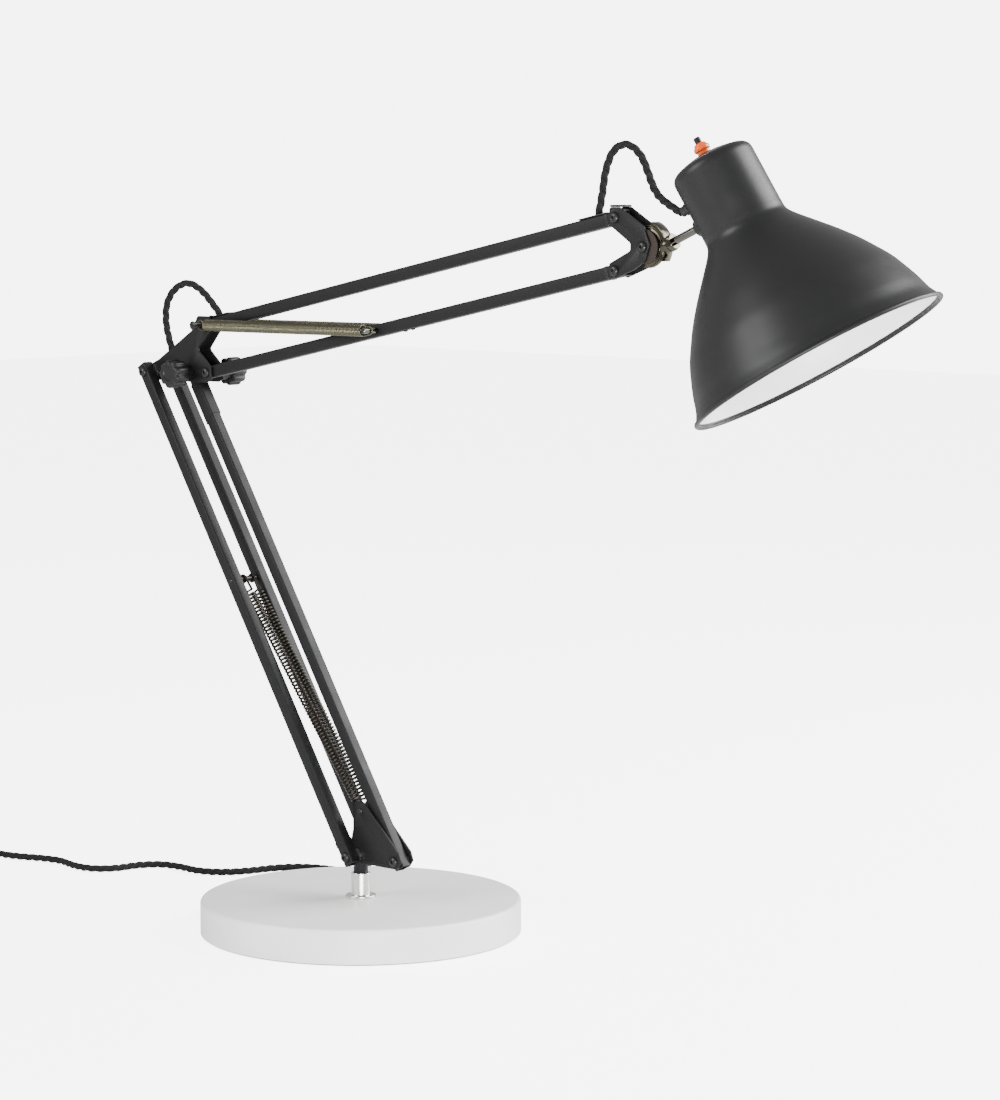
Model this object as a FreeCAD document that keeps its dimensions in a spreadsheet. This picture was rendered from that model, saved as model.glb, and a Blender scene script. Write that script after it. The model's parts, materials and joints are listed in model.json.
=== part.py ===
"""Balanced-arm desk lamp: a parametric FreeCAD document, in millimetres.

Frame: the origin is the centre of the base's underside, +Z is up, +X points the way the arm
reaches, and every arm pivot runs along Y, with the near side at -Y.
"""
import FreeCAD, Part
import math
import os
import re
import Sketcher

Vector = FreeCAD.Vector
Rotation = FreeCAD.Rotation
AXIS_X = Vector(1, 0, 0)
AXIS_Y = Vector(0, 1, 0)
AXIS_Z = Vector(0, 0, 1)

doc = FreeCAD.newDocument("desk_lamp")
sheet = doc.addObject("Spreadsheet::Sheet", "Sizes")

# ---------------------------------------------------------------- driving sizes
SIZES = [
    # base
    ("base_dia", 230.0), ("base_rise", 25.0), ("base_wall", 1.5), ("base_round", 3.0),
    ("felt_thick", 0.8), ("felt_inset", 1.5), ("weight_thick", 14.0),
    # stem and swivel post
    ("stem_dia", 14.0), ("stem_rise", 18.0), ("stem_shank_dia", 10.0), ("stem_shank_drop", 8.5),
    ("flange_dia", 22.0), ("flange_thick", 2.0), ("nut_dia", 18.0), ("nut_thick", 5.0),
    ("post_pin_dia", 7.9), ("post_pin_depth", 14.0), ("post_collar_dia", 10.4),
    ("post_collar_rise", 8.0), ("web_thick", 2.3), ("web_length", 15.0),
    # clearances and fasteners
    ("run_clearance", 0.05), ("side_clearance", 0.1), ("open_clearance", 0.35),
    ("bolt_dia", 5.0), ("head_dia", 8.4), ("head_thick", 2.6), ("bush_wall", 1.0),
    ("washer_dia", 11.0), ("pin_dia", 4.0), ("long_pin_grip", 4.2), ("pin_lip", 0.7),
    ("pin_cap", 2.0),
    # plates
    ("plate_gap", 10.4), ("plate_thick", 1.5), ("plate_edge", 6.3), ("plate_round", 2.0),
    # bars
    ("bar_side", 8.8), ("bar_wall", 1.0), ("bar_end", 6.0), ("lower_len", 397.0),
    ("lower_lean", 31.55), ("upper_len", 400.0), ("upper_rise", 11.86),
    ("rear_bar_shift", 13.1), ("foot_span", 37.0), ("foot_front_reach", 38.8),
    ("foot_pivot_rise", 56.3), ("arm_pivot_reach", 18.9), ("arm_pivot_rise", 1.2),
    ("arm_span", 34.9), ("sleeve_length", 30.0), ("sleeve_wall", 0.5), ("spacer_side", 9.0),
    ("spacer_back", 24.5), ("spacer_rise", 1.5), ("spacer_turn", 18.0), ("clip_length", 24.0),
    ("clip_thick", 1.0), ("clip_start", 10.0), ("clip_end", 21.0),
    # springs
    ("wire_dia", 1.2), ("lower_spring_dia", 8.0), ("upper_spring_dia", 8.8),
    ("lower_pin_along", 222.6), ("upper_pin_along", 175.6), ("spring_pin_reach", 33.0),
    ("spring_pin_rise", 32.4), ("lower_spring_shift", 4.3), ("upper_spring_shift", 11.6),
    ("spring_top_gap", 12.0), ("spring_foot_gap", 12.0), ("upper_spring_gap", 5.5),
    ("upper_spring_end_gap", 6.0),
    # tension knobs
    ("knob_dia", 21.0), ("knob_thick", 12.5), ("knob_boss_dia", 12.0), ("knob_boss", 7.5),
    ("flute_dia", 5.2), ("flute_count", 9),
    # head
    ("tilt_reach", 24.0), ("tilt_rise", 16.0), ("disc_dia", 28.0), ("disc_thick", 8.4),
    ("friction_dia", 23.0), ("rod_dia", 5.4), ("rod_angle", 23.35), ("rod_drop", 5.0),
    ("rod_start", 17.4), ("rod_length", 59.0), ("rod_nut_dia", 11.7), ("rod_nut_thick", 4.5),
    ("socket_dia", 11.0), ("yoke_wall", 3.2), ("yoke_start", 18.0), ("yoke_sweep", 105.0),
    ("rod_tail", 3.4), ("bridge_length", 7.8), ("head_peak", 6.8), ("nose_end", 4.8),
    # shade
    ("rim_dia", 178.9), ("shade_wall", 1.2), ("bead_dia", 3.0), ("lip_dia", 168.4),
    ("lip_rise", 9.5), ("shoulder_dia", 135.6), ("shoulder_rise", 47.7), ("waist_dia", 63.8),
    ("waist_rise", 92.4), ("neck_dia", 56.0), ("neck_foot", 100.5), ("neck_rise", 148.0),
    ("crown_rise", 155.0), ("neck_round", 4.5), ("mount_rise", 113.8), ("shade_lean", 5.4),
    ("shade_turn", 9.45), ("boss_dia", 12.0), ("boss_length", 5.0),
    # lampholder, bulb and switch
    ("holder_dia", 40.0), ("holder_length", 29.0), ("holder_bore_dia", 27.6), ("holder_neck_dia", 26.0),
    ("cap_dia", 26.0), ("cap_length", 25.0), ("bulb_dia", 55.0), ("bulb_length", 105.0),
    ("gland_turn", 25.0), ("gland_rise", 129.0), ("gland_dia", 8.0), ("gland_length", 5.0),
    ("switch_offset", 1.3), ("collar_dia", 10.0), ("collar_rise", 7.2), ("collar_depth", 6.0),
    ("button_dia", 4.6), ("button_rise", 4.3), ("button_travel", 2.5),
    # cord
    ("cord_dia", 5.6), ("outlet_angle", 132.0), ("outlet_rise", 19.5), ("outlet_length", 22.0),
    ("outlet_dia", 9.6), ("coil_dia", 58.0), ("coil_band", 17.0), ("coil_height", 17.0),
    ("plug_length", 34.0), ("plug_width", 26.0), ("plug_thick", 13.0), ("plug_tail", 16.0),
    ("plug_pin_dia", 4.0), ("plug_pin_length", 19.0), ("plug_pin_pitch", 18.6),
]
for row, (name, value) in enumerate(SIZES, start=1):
    sheet.set("A%d" % row, name)
    sheet.set("B%d" % row, str(value))
    sheet.setAlias("B%d" % row, name)
doc.recompute()

NAMES = {name for name, _ in SIZES}
SCRATCH_CELL = "D1"
nodes = []


def bound(text):
    """The expression with each size's name pointed at its cell of the sheet."""
    return re.sub(r"[a-z_]+", lambda word: "Sizes." + word[0] if word[0] in NAMES else word[0], text)


def number(text):
    """The present value of an expression of the sheet's sizes."""
    sheet.set(SCRATCH_CELL, "=" + text)
    sheet.recompute()
    return float(sheet.get(SCRATCH_CELL))


def keep(obj, label, placement=None):
    """Names a finished sub-part, puts it in its place and lists it for export."""
    obj.Label = label
    if placement is not None:
        obj.Placement = placement
    nodes.append(obj)
    return obj


def new_body(label):
    return doc.addObject("PartDesign::Body", label + "_body")


def origin_plane(body, role):
    return next(feature for feature in body.Origin.OriginFeatures if feature.Role == role)


def new_sketch(body, role, name):
    sketch = body.newObject("Sketcher::SketchObject", name)
    sketch.AttachmentSupport = [(origin_plane(body, role), "")]
    sketch.MapMode = "FlatFace"
    return sketch


def fix_point(sketch, index, end, across, up):
    """Ties one point of a sketch to the sheet, as two distances from the sketch's origin."""
    for kind, text, axis in (("DistanceX", across, -2), ("DistanceY", up, -1)):
        if text == "0":
            sketch.addConstraint(Sketcher.Constraint("PointOnObject", index, end, axis))
            continue
        row = sketch.addConstraint(Sketcher.Constraint(kind, -1, 1, index, end, number(text)))
        sketch.setExpression("Constraints[%d]" % row, bound(text))


def polygon(sketch, points):
    """A closed outline of straight lines through points given as expressions."""
    places = [Vector(number(across), number(up), 0) for across, up in points]
    first = sketch.GeometryCount
    count = len(points)
    for step in range(count):
        sketch.addGeometry(Part.LineSegment(places[step], places[(step + 1) % count]), False)
    for step in range(count):
        following = first + (step + 1) % count
        sketch.addConstraint(Sketcher.Constraint("Coincident", first + step, 2, following, 1))
    for step, (across, up) in enumerate(points):
        fix_point(sketch, first + step, 1, across, up)


def circle(sketch, across, up, diameter):
    """A circle with its centre and its diameter tied to the sheet."""
    centre = Vector(number(across), number(up), 0)
    index = sketch.addGeometry(Part.Circle(centre, AXIS_Z, number(diameter) / 2), False)
    row = sketch.addConstraint(Sketcher.Constraint("Diameter", index, number(diameter)))
    sketch.setExpression("Constraints[%d]" % row, bound(diameter))
    fix_point(sketch, index, 3, across, up)


def turned(label, profile, placement=None):
    """A body turned about its own Z axis from a closed profile of (radius, height) points."""
    body = new_body(label)
    sketch = new_sketch(body, "XZ_Plane", label + "_profile")
    polygon(sketch, profile)
    turn = body.newObject("PartDesign::Revolution", label + "_turn")
    turn.Profile = sketch
    turn.ReferenceAxis = (sketch, ["V_Axis"])
    turn.Angle = 360.0
    return keep(body, label, placement)


def plate(label, outline, holes, placement):
    """A flat plate in the XZ plane, cut from sheet, with round holes and softened corners."""
    body = new_body(label)
    sketch = new_sketch(body, "XZ_Plane", label + "_outline")
    polygon(sketch, outline)
    for across, up, diameter in holes:
        circle(sketch, across, up, diameter)
    pad = body.newObject("PartDesign::Pad", label + "_pad")
    pad.Profile = sketch
    pad.setExpression("Length", bound("plate_thick"))
    doc.recompute()
    corners = []
    for row, edge in enumerate(pad.Shape.Edges, start=1):
        straight = edge.Curve.TypeId == "Part::GeomLine"
        if straight and abs(edge.tangentAt(edge.FirstParameter).y) > 0.99:
            corners.append("Edge%d" % row)
    soft = body.newObject("PartDesign::Fillet", label + "_corners")
    soft.Base = (pad, corners)
    soft.setExpression("Radius", bound("plate_round"))
    return keep(body, label, placement)


def bar(label, length, holes, placement, nose="bar_end"):
    """A square tube along its own X axis, from behind its first pivot to a nose past its second."""
    body = new_body(label)
    sketch = new_sketch(body, "YZ_Plane", label + "_section")
    for half in ("bar_side / 2", "bar_side / 2 - bar_wall"):
        low = "-(%s)" % half
        polygon(sketch, [(low, low), (half, low), (half, half), (low, half)])
    pad = body.newObject("PartDesign::Pad", label + "_pad")
    pad.Profile = sketch
    pad.setExpression("Length", bound("%s + %s" % (length, nose)))
    back = body.newObject("PartDesign::Pad", label + "_heel")
    back.Profile = sketch
    back.Reversed = True
    back.setExpression("Length", bound("bar_end"))
    drilled = new_sketch(body, "XZ_Plane", label + "_holes")
    for along, diameter in holes:
        circle(drilled, along, "0", diameter)
    pocket = body.newObject("PartDesign::Pocket", label + "_bores")
    pocket.Profile = drilled
    pocket.Midplane = True
    pocket.setExpression("Length", bound("bar_side + 2 * bar_wall"))
    doc.recompute()
    if pocket.Shape.Volume >= back.Shape.Volume:
        raise RuntimeError(label + ": the bores cut nothing")
    return keep(body, label, placement)


def across_y(point, shift=0.0):
    """Lays a turned body's axis along +Y, through a point of the XZ plane."""
    return FreeCAD.Placement(Vector(point.x, shift, point.z), Rotation(AXIS_X, -90))


def pitched(point, degrees, shift=0.0):
    """Turns a body's X axis up by an angle in the XZ plane, from a point."""
    return FreeCAD.Placement(Vector(point.x, shift, point.z), Rotation(AXIS_Y, -degrees))


def shape_part(label, shape, placement=None):
    """A free shape as a Part::Feature."""
    feature = doc.addObject("Part::Feature", label)
    feature.Shape = shape
    return keep(feature, label, placement)


def bolt_profile(grip, diameter="bolt_dia", head="head_dia"):
    """Half outline of a bolt and its nut, from -grip to +grip along its axis."""
    top = "%s" % grip
    ends = [("0", "-(%s) - head_thick" % top), ("%s / 2" % head, "-(%s) - head_thick" % top)]
    shank = [("%s / 2" % head, "-(%s)" % top), ("%s / 2" % diameter, "-(%s)" % top),
             ("%s / 2" % diameter, top), ("%s / 2" % head, top)]
    return ends + shank + [("%s / 2" % head, top + " + head_thick"), ("0", top + " + head_thick")]


def ring_profile(bore, outside, low, high):
    """Half outline of a plain tube or washer."""
    return [(bore, low), (outside, low), (outside, high), (bore, high)]


# ---------------------------------------------------------------- pivots, all in the XZ plane
def in_plane(across, up):
    return Vector(number(across), 0, number(up))


def along(start, degrees, distance):
    turn = math.radians(degrees)
    return start + Vector(math.cos(turn), 0, math.sin(turn)) * distance


lower_angle = 90 + number("lower_lean")
upper_angle = number("upper_rise")
foot_front = in_plane("foot_front_reach", "foot_pivot_rise")
foot_rear = foot_front - Vector(number("foot_span"), 0, 0)
foot_spring = foot_front + in_plane("-spring_pin_reach", "spring_pin_rise")
elbow_front = along(foot_front, lower_angle, number("lower_len"))
elbow_rear = along(foot_rear, lower_angle, number("lower_len"))
lower_spring_pin = along(foot_rear, lower_angle, number("lower_pin_along"))
arm_low = elbow_front + in_plane("arm_pivot_reach", "arm_pivot_rise")
arm_high = arm_low + Vector(0, 0, number("arm_span"))
upper_spring_pin = along(arm_low, upper_angle, number("upper_pin_along"))
head_low = along(arm_low, upper_angle, number("upper_len"))
head_high = along(arm_high, upper_angle, number("upper_len"))
tilt = head_low + in_plane("tilt_reach", "tilt_rise")

BORE = "bolt_dia + 2 * run_clearance"
BUSH_DIA = "bolt_dia + 2 * bush_wall"
PLATE_FACE = "plate_gap / 2 + plate_thick"

# ---------------------------------------------------------------- base
# A spun steel cover over a cast weight, with a felt pad below.
turned("base_cover", [
    ("stem_shank_dia / 2", "base_rise - base_wall"), ("base_dia / 2 - base_wall", "base_rise - base_wall"),
    ("base_dia / 2 - base_wall", "felt_thick"), ("base_dia / 2", "felt_thick"),
    ("base_dia / 2", "base_rise - base_round"),
    ("base_dia / 2 - base_round * 0.29", "base_rise - base_round * 0.29"),
    ("base_dia / 2 - base_round", "base_rise"), ("stem_shank_dia / 2", "base_rise")])
outlet_turn = Rotation(AXIS_Z, number("outlet_angle"))
outlet_hole = doc.addObject("Part::Cylinder", "outlet_hole")
outlet_hole.setExpression("Radius", bound("outlet_dia / 2 - 1"))
outlet_hole.setExpression("Height", bound("4 * base_wall"))
outlet_hole.Placement = FreeCAD.Placement(
    outlet_turn.multVec(Vector(number("base_dia / 2 - 2.5 * base_wall"), 0, number("outlet_rise"))),
    outlet_turn.multiply(Rotation(AXIS_Y, 90)))
cover_body = nodes.pop()
cover_body.Label = "base_cover_spun"
cover = doc.addObject("Part::Cut", "base_cover_cut")
cover.Base = cover_body
cover.Tool = outlet_hole
keep(cover, "base_cover")

turned("base_weight", ring_profile(
    "stem_shank_dia / 2 + 2", "base_dia / 2 - base_wall", "felt_thick", "felt_thick + weight_thick"))
turned("base_felt", [
    ("0", "0"), ("base_dia / 2 - felt_inset", "0"), ("base_dia / 2 - felt_inset", "felt_thick"),
    ("0", "felt_thick")])

# Plated stem, its nut under the cover, and the rubber outlet for the cord.
turned("stem", [
    ("post_pin_dia / 2 + run_clearance", "base_rise - stem_shank_drop"),
    ("stem_shank_dia / 2", "base_rise - stem_shank_drop"), ("stem_shank_dia / 2", "base_rise"),
    ("flange_dia / 2", "base_rise"), ("flange_dia / 2", "base_rise + flange_thick"),
    ("stem_dia / 2", "base_rise + flange_thick"), ("stem_dia / 2", "base_rise + stem_rise"),
    ("post_pin_dia / 2 + run_clearance", "base_rise + stem_rise")])
turned("stem_nut", ring_profile(
    "stem_shank_dia / 2", "nut_dia / 2", "base_rise - base_wall - nut_thick", "base_rise - base_wall"))
outlet_place = FreeCAD.Placement(
    outlet_turn.multVec(Vector(number("base_dia / 2"), 0, number("outlet_rise"))),
    outlet_turn.multiply(Rotation(AXIS_Y, 90)))
turned("cord_outlet", [
    ("0", "-base_wall - 1"), ("outlet_dia / 2 - 1.1", "-base_wall - 1"), ("outlet_dia / 2 - 1.1", "0.1"),
    ("outlet_dia / 2", "0.1"), ("outlet_dia / 2", "3"), ("cord_dia / 2 + 0.6", "outlet_length"),
    ("0", "outlet_length")], outlet_place)

# ---------------------------------------------------------------- swivelling foot
# Post with its pin in the stem, a floor web, and two folded side plates on it.
post_top = "base_rise + stem_rise + post_collar_rise"
post_pin = turned("foot_post_turned", [
    ("0", "base_rise + stem_rise - post_pin_depth"),
    ("post_pin_dia / 2", "base_rise + stem_rise - post_pin_depth"),
    ("post_pin_dia / 2", "base_rise + stem_rise + side_clearance"),
    ("post_collar_dia / 2", "base_rise + stem_rise + side_clearance"),
    ("post_collar_dia / 2", post_top), ("0", post_top)])
nodes.pop()
web = doc.addObject("Part::Box", "foot_web")
web.setExpression("Length", bound("web_length"))
web.setExpression("Width", bound("plate_gap"))
web.setExpression("Height", bound("web_thick"))
web.Placement.Base = Vector(-number("web_length / 2"), -number("plate_gap / 2"), number(post_top))
foot_post = doc.addObject("Part::Fuse", "foot_post_fuse")
foot_post.Base = post_pin
foot_post.Tool = web
keep(foot_post, "foot_post")

FOOT_OUTLINE = [
    ("-foot_span - plate_edge", "-5.3"), ("-foot_span - plate_edge", "4.0"),
    ("-spring_pin_reach - 6.8", "19.3"), ("-spring_pin_reach - 6.8", "spring_pin_rise + 3.8"),
    ("-spring_pin_reach - 3.8", "spring_pin_rise + 6.8"),
    ("-spring_pin_reach + 2.7", "spring_pin_rise + 6.8"),
    ("-spring_pin_reach + 6.7", "spring_pin_rise + 4.3"), ("4.9", "6.4"),
    ("plate_edge + 0.9", "0.2"), ("3.2", "-5.3")]
FOOT_HOLES = [
    ("0", "0", "bolt_dia"), ("-foot_span", "0", "bolt_dia"),
    ("-spring_pin_reach", "spring_pin_rise", "pin_dia")]
for side, face in (("near", -number("plate_gap / 2")), ("far", number(PLATE_FACE))):
    plate("foot_plate_" + side, FOOT_OUTLINE, FOOT_HOLES, pitched(foot_front, 0, face))
REAR_GRIP = "rear_bar_shift + bar_side / 2 + side_clearance"
turned("foot_front_bolt", bolt_profile(PLATE_FACE), across_y(foot_front))
turned("foot_rear_bolt", bolt_profile(REAR_GRIP), across_y(foot_rear))
turned("foot_spring_pin", ring_profile(
    "0", "pin_dia / 2", "-(%s) - 0.8" % PLATE_FACE, "%s + 0.8" % PLATE_FACE), across_y(foot_spring))

# ---------------------------------------------------------------- lower arm
bar("front_bar", "lower_len", [("0", BUSH_DIA), ("lower_len", BUSH_DIA)], pitched(foot_front, lower_angle))
front_start = along(foot_front, lower_angle, number("lower_len - bar_end - 2.5 - sleeve_length"))
sleeve = new_body("front_bar_sleeve")
sleeve_section = new_sketch(sleeve, "YZ_Plane", "sleeve_section")
for half in ("bar_side / 2 + sleeve_wall", "bar_side / 2"):
    polygon(sleeve_section, [("-(%s)" % half, "-(%s)" % half), (half, "-(%s)" % half),
                             (half, half), ("-(%s)" % half, half)])
sleeve_pad = sleeve.newObject("PartDesign::Pad", "sleeve_pad")
sleeve_pad.Profile = sleeve_section
sleeve_pad.setExpression("Length", bound("sleeve_length"))
keep(sleeve, "front_bar_sleeve", pitched(front_start, lower_angle))


def bushes(label, places, fixed):
    """Plain bushes pressed in a bar's ends, with a running bore or, on an open pivot, a loose one."""
    solids = []
    for point, clearance in zip(places, fixed):
        half = number("plate_gap / 2 - side_clearance")
        outer = Part.makeCylinder(number(BUSH_DIA) / 2, 2 * half, point - AXIS_Y * half, AXIS_Y)
        bore = number("bolt_dia / 2 + %s" % clearance)
        solids.append(outer.cut(Part.makeCylinder(bore, 2 * half, point - AXIS_Y * half, AXIS_Y)))
    shape_part(label, Part.makeCompound(solids))


bushes("front_bar_bushes", (foot_front, elbow_front), ("run_clearance", "run_clearance"))

for side, sign in (("near", -1), ("far", 1)):
    bar("rear_bar_" + side, "lower_len",
        [("0", BUSH_DIA), ("lower_len", BUSH_DIA), ("lower_pin_along", "pin_dia")],
        pitched(foot_rear, lower_angle, sign * number("rear_bar_shift")))
turned("rear_spring_pin", ring_profile(
    "0", "pin_dia / 2", "-(%s) - 0.6" % REAR_GRIP, "%s + 0.6" % REAR_GRIP), across_y(lower_spring_pin))
flanged = []
for point, slack in ((foot_rear, "run_clearance"), (elbow_rear, "open_clearance")):
    for sign in (-1, 1):
        inner = point + AXIS_Y * sign * number(PLATE_FACE + " + side_clearance")
        reach = number("rear_bar_shift + bar_side / 2 - plate_gap / 2 - plate_thick - side_clearance")
        collar = number("rear_bar_shift - bar_side / 2 - plate_gap / 2 - plate_thick - side_clearance")
        tube = Part.makeCylinder(number(BUSH_DIA) / 2, reach, inner, AXIS_Y * sign)
        washer = Part.makeCylinder(number("washer_dia / 2"), collar, inner, AXIS_Y * sign)
        bore = Part.makeCylinder(number("bolt_dia / 2 + " + slack), reach, inner, AXIS_Y * sign)
        flanged.append(tube.fuse(washer).removeSplitter().cut(bore))
shape_part("rear_bar_bushes", Part.makeCompound(flanged))

# ---------------------------------------------------------------- elbow
ELBOW_OUTLINE = [
    ("-foot_span - plate_edge", "-plate_edge"), ("-foot_span - plate_edge", "4.0"), ("-31", "9.5"),
    ("arm_pivot_reach - 15", "arm_pivot_rise + 30.2"),
    ("arm_pivot_reach - 8.4", "arm_pivot_rise + arm_span + 6.4"),
    ("arm_pivot_reach + 4.1", "arm_pivot_rise + arm_span + 6.4"),
    ("arm_pivot_reach + 6.6", "arm_pivot_rise + arm_span - 0.1"),
    ("arm_pivot_reach - 8.6", "arm_pivot_rise + 16.6"), ("arm_pivot_reach + 5.4", "arm_pivot_rise + 4"),
    ("arm_pivot_reach + 6.0", "arm_pivot_rise - 5"), ("arm_pivot_reach + 0.5", "-plate_edge")]
ELBOW_HOLES = [
    ("0", "0", "bolt_dia"), ("-foot_span", "0", "bolt_dia"),
    ("arm_pivot_reach", "arm_pivot_rise", "bolt_dia"),
    ("arm_pivot_reach", "arm_pivot_rise + arm_span", "bolt_dia")]
for side, face in (("near", -number("plate_gap / 2")), ("far", number(PLATE_FACE))):
    plate("elbow_plate_" + side, ELBOW_OUTLINE, ELBOW_HOLES, pitched(elbow_front, 0, face))
turned("elbow_rear_bolt", bolt_profile(REAR_GRIP), across_y(elbow_rear))
KNOB_SEAT = PLATE_FACE + " + knob_boss"


def knob_bolt(label, point, sign):
    """A bolt through both plates, with its head on one side and its thread in the knob."""
    end = "%s + knob_thick * 0.6" % KNOB_SEAT
    turned(label, [
        ("0", "-(%s) - head_thick" % PLATE_FACE), ("head_dia / 2", "-(%s) - head_thick" % PLATE_FACE),
        ("head_dia / 2", "-(%s)" % PLATE_FACE), ("bolt_dia / 2", "-(%s)" % PLATE_FACE),
        ("bolt_dia / 2", end), ("0", end)],
        FreeCAD.Placement(point, Rotation(AXIS_X, -90 * sign)))


knob_bolt("elbow_lower_bolt", elbow_front, -1)
knob_bolt("elbow_upper_bolt", arm_low, 1)
PIN_END = "upper_spring_shift + upper_spring_dia / 2 + long_pin_grip"
turned("upper_spring_pin", [
    ("0", "-(%s)" % PIN_END), ("bolt_dia / 2 + pin_lip", "-(%s)" % PIN_END),
    ("bolt_dia / 2 + pin_lip", "-(%s) + pin_cap" % PIN_END), ("bolt_dia / 2", "-(%s) + pin_cap" % PIN_END),
    ("bolt_dia / 2", "%s - pin_cap" % PIN_END), ("bolt_dia / 2 + pin_lip", "%s - pin_cap" % PIN_END),
    ("bolt_dia / 2 + pin_lip", PIN_END), ("0", PIN_END)], across_y(arm_high))
spacer = doc.addObject("Part::Box", "elbow_spacer_box")
spacer.setExpression("Length", bound("spacer_side"))
spacer.setExpression("Width", bound("plate_gap"))
spacer.setExpression("Height", bound("spacer_side"))
spacer_corner = in_plane("-spacer_back", "spacer_rise") - AXIS_Y * number("plate_gap / 2")
keep(spacer, "elbow_spacer", FreeCAD.Placement(
    elbow_front + spacer_corner, Rotation(AXIS_Y, -number("spacer_turn"))))


def knob(label, point, sign):
    """A fluted tension knob: a boss to the plate, a round head, and flutes set round it."""
    body = new_body(label)
    head_sketch = new_sketch(body, "XY_Plane", label + "_head")
    circle(head_sketch, "0", "0", "knob_dia")
    circle(head_sketch, "0", "0", BORE)
    head = body.newObject("PartDesign::Pad", label + "_pad")
    head.Profile = head_sketch
    head.setExpression("Length", bound("knob_thick"))
    boss_sketch = new_sketch(body, "XY_Plane", label + "_boss")
    circle(boss_sketch, "0", "0", "knob_boss_dia")
    circle(boss_sketch, "0", "0", BORE)
    boss = body.newObject("PartDesign::Pad", label + "_boss_pad")
    boss.Profile = boss_sketch
    boss.Reversed = True
    boss.setExpression("Length", bound("knob_boss - side_clearance"))
    flute_sketch = new_sketch(body, "XY_Plane", label + "_flute")
    circle(flute_sketch, "knob_dia / 2 + flute_dia * 0.22", "0", "flute_dia")
    flute = body.newObject("PartDesign::Pocket", label + "_flute_cut")
    flute.Profile = flute_sketch
    flute.Reversed = True
    flute.setExpression("Length", bound("knob_thick"))
    doc.recompute()
    ring = body.newObject("PartDesign::PolarPattern", label + "_flutes")
    ring.Originals = [flute]
    ring.Axis = (origin_plane_axis(body), [""])
    ring.Angle = 360.0
    ring.setExpression("Occurrences", bound("flute_count"))
    body.Tip = ring
    doc.recompute()
    if not ring.Shape.Volume < flute.Shape.Volume < boss.Shape.Volume:
        raise RuntimeError(label + ": the flutes cut nothing")
    seat = number(KNOB_SEAT) * sign
    keep(body, label, FreeCAD.Placement(point + AXIS_Y * seat, Rotation(AXIS_X, -90 * sign)))


def origin_plane_axis(body):
    return next(feature for feature in body.Origin.OriginFeatures if feature.Role == "Z_Axis")


knob("lower_arm_knob", elbow_front, -1)
knob("upper_arm_knob", arm_low, 1)

# ---------------------------------------------------------------- upper arm
bar("lower_bar", "upper_len",
    [("0", BUSH_DIA), ("upper_len", BUSH_DIA), ("upper_pin_along", "pin_dia")], pitched(arm_low, upper_angle))
turned("lower_bar_pin", ring_profile("0", "pin_dia / 2", "-(%s) + 1.5" % PIN_END, "%s - 1.5" % PIN_END),
       across_y(upper_spring_pin))
bushes("lower_bar_bushes", (arm_low, head_low), ("run_clearance", "open_clearance"))
bar("upper_bar", "upper_len", [("0", BUSH_DIA), ("upper_len", BUSH_DIA)],
    pitched(arm_high, upper_angle), "nose_end")
bushes("upper_bar_bushes", (arm_high, head_high), ("run_clearance", "run_clearance"))
clips = []
for place in (number("clip_start"), number("upper_len - clip_end")):
    corner = Vector(place - number("clip_length / 2"), -number("bar_side / 2"), 0)
    clips.append(Part.makeBox(number("clip_length"), number("bar_side"), number("clip_thick"), corner))
shape_part("upper_bar_clips", Part.makeCompound(clips), pitched(
    along(arm_high, upper_angle + 90, number("bar_side / 2")), upper_angle))

# ---------------------------------------------------------------- head bracket
HEAD_OUTLINE = [
    ("-4.6", "head_peak"), ("4.2", "head_peak"), ("tilt_reach + 1", "head_peak - 12.4"),
    ("tilt_reach + 6", "-tilt_rise - 1"), ("tilt_reach + 2.4", "-arm_span + 7"),
    ("tilt_reach - 6.6", "-arm_span + 1.2"), ("1", "-arm_span - 5"), ("-4.6", "-arm_span - 2.6"),
    ("-4.6", "-arm_span + 4.6"), ("tilt_reach - 10.5", "-arm_span + tilt_rise - 2.6"),
    ("tilt_reach - 10.5", "-arm_span + tilt_rise + 2.2"), ("-4.6", "-4.8")]
HEAD_HOLES = [
    ("0", "0", "bolt_dia"), ("0", "-arm_span", "bolt_dia"),
    ("tilt_reach", "-arm_span + tilt_rise", "bolt_dia")]
for side, face in (("near", -number("plate_gap / 2")), ("far", number(PLATE_FACE))):
    plate("head_plate_" + side, HEAD_OUTLINE, HEAD_HOLES, pitched(head_high, 0, face))
# The bridge lies on the plates' top edge, clear of the upper bar's nose as it turns.
bridge = doc.addObject("Part::Box", "head_bridge_box")
bridge.setExpression("Length", bound("bridge_length"))
bridge.setExpression("Width", bound("plate_gap + 2 * plate_thick"))
bridge.setExpression("Height", bound("plate_thick"))
bridge_corner = in_plane("-bridge_length / 2", "head_peak + run_clearance")
keep(bridge, "head_bridge", FreeCAD.Placement(
    head_high + bridge_corner - AXIS_Y * number(PLATE_FACE), Rotation()))
for name, point in (("head_upper_bolt", head_high), ("head_lower_bolt", head_low)):
    turned(name, bolt_profile(PLATE_FACE), across_y(point))
head_bolts = doc.addObject("Part::Compound", "head_bolt_pair")
head_bolts.Links = [nodes.pop(), nodes.pop()]
keep(head_bolts, "head_bolts")
turned("tilt_bolt", bolt_profile(PLATE_FACE), across_y(tilt))

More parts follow.
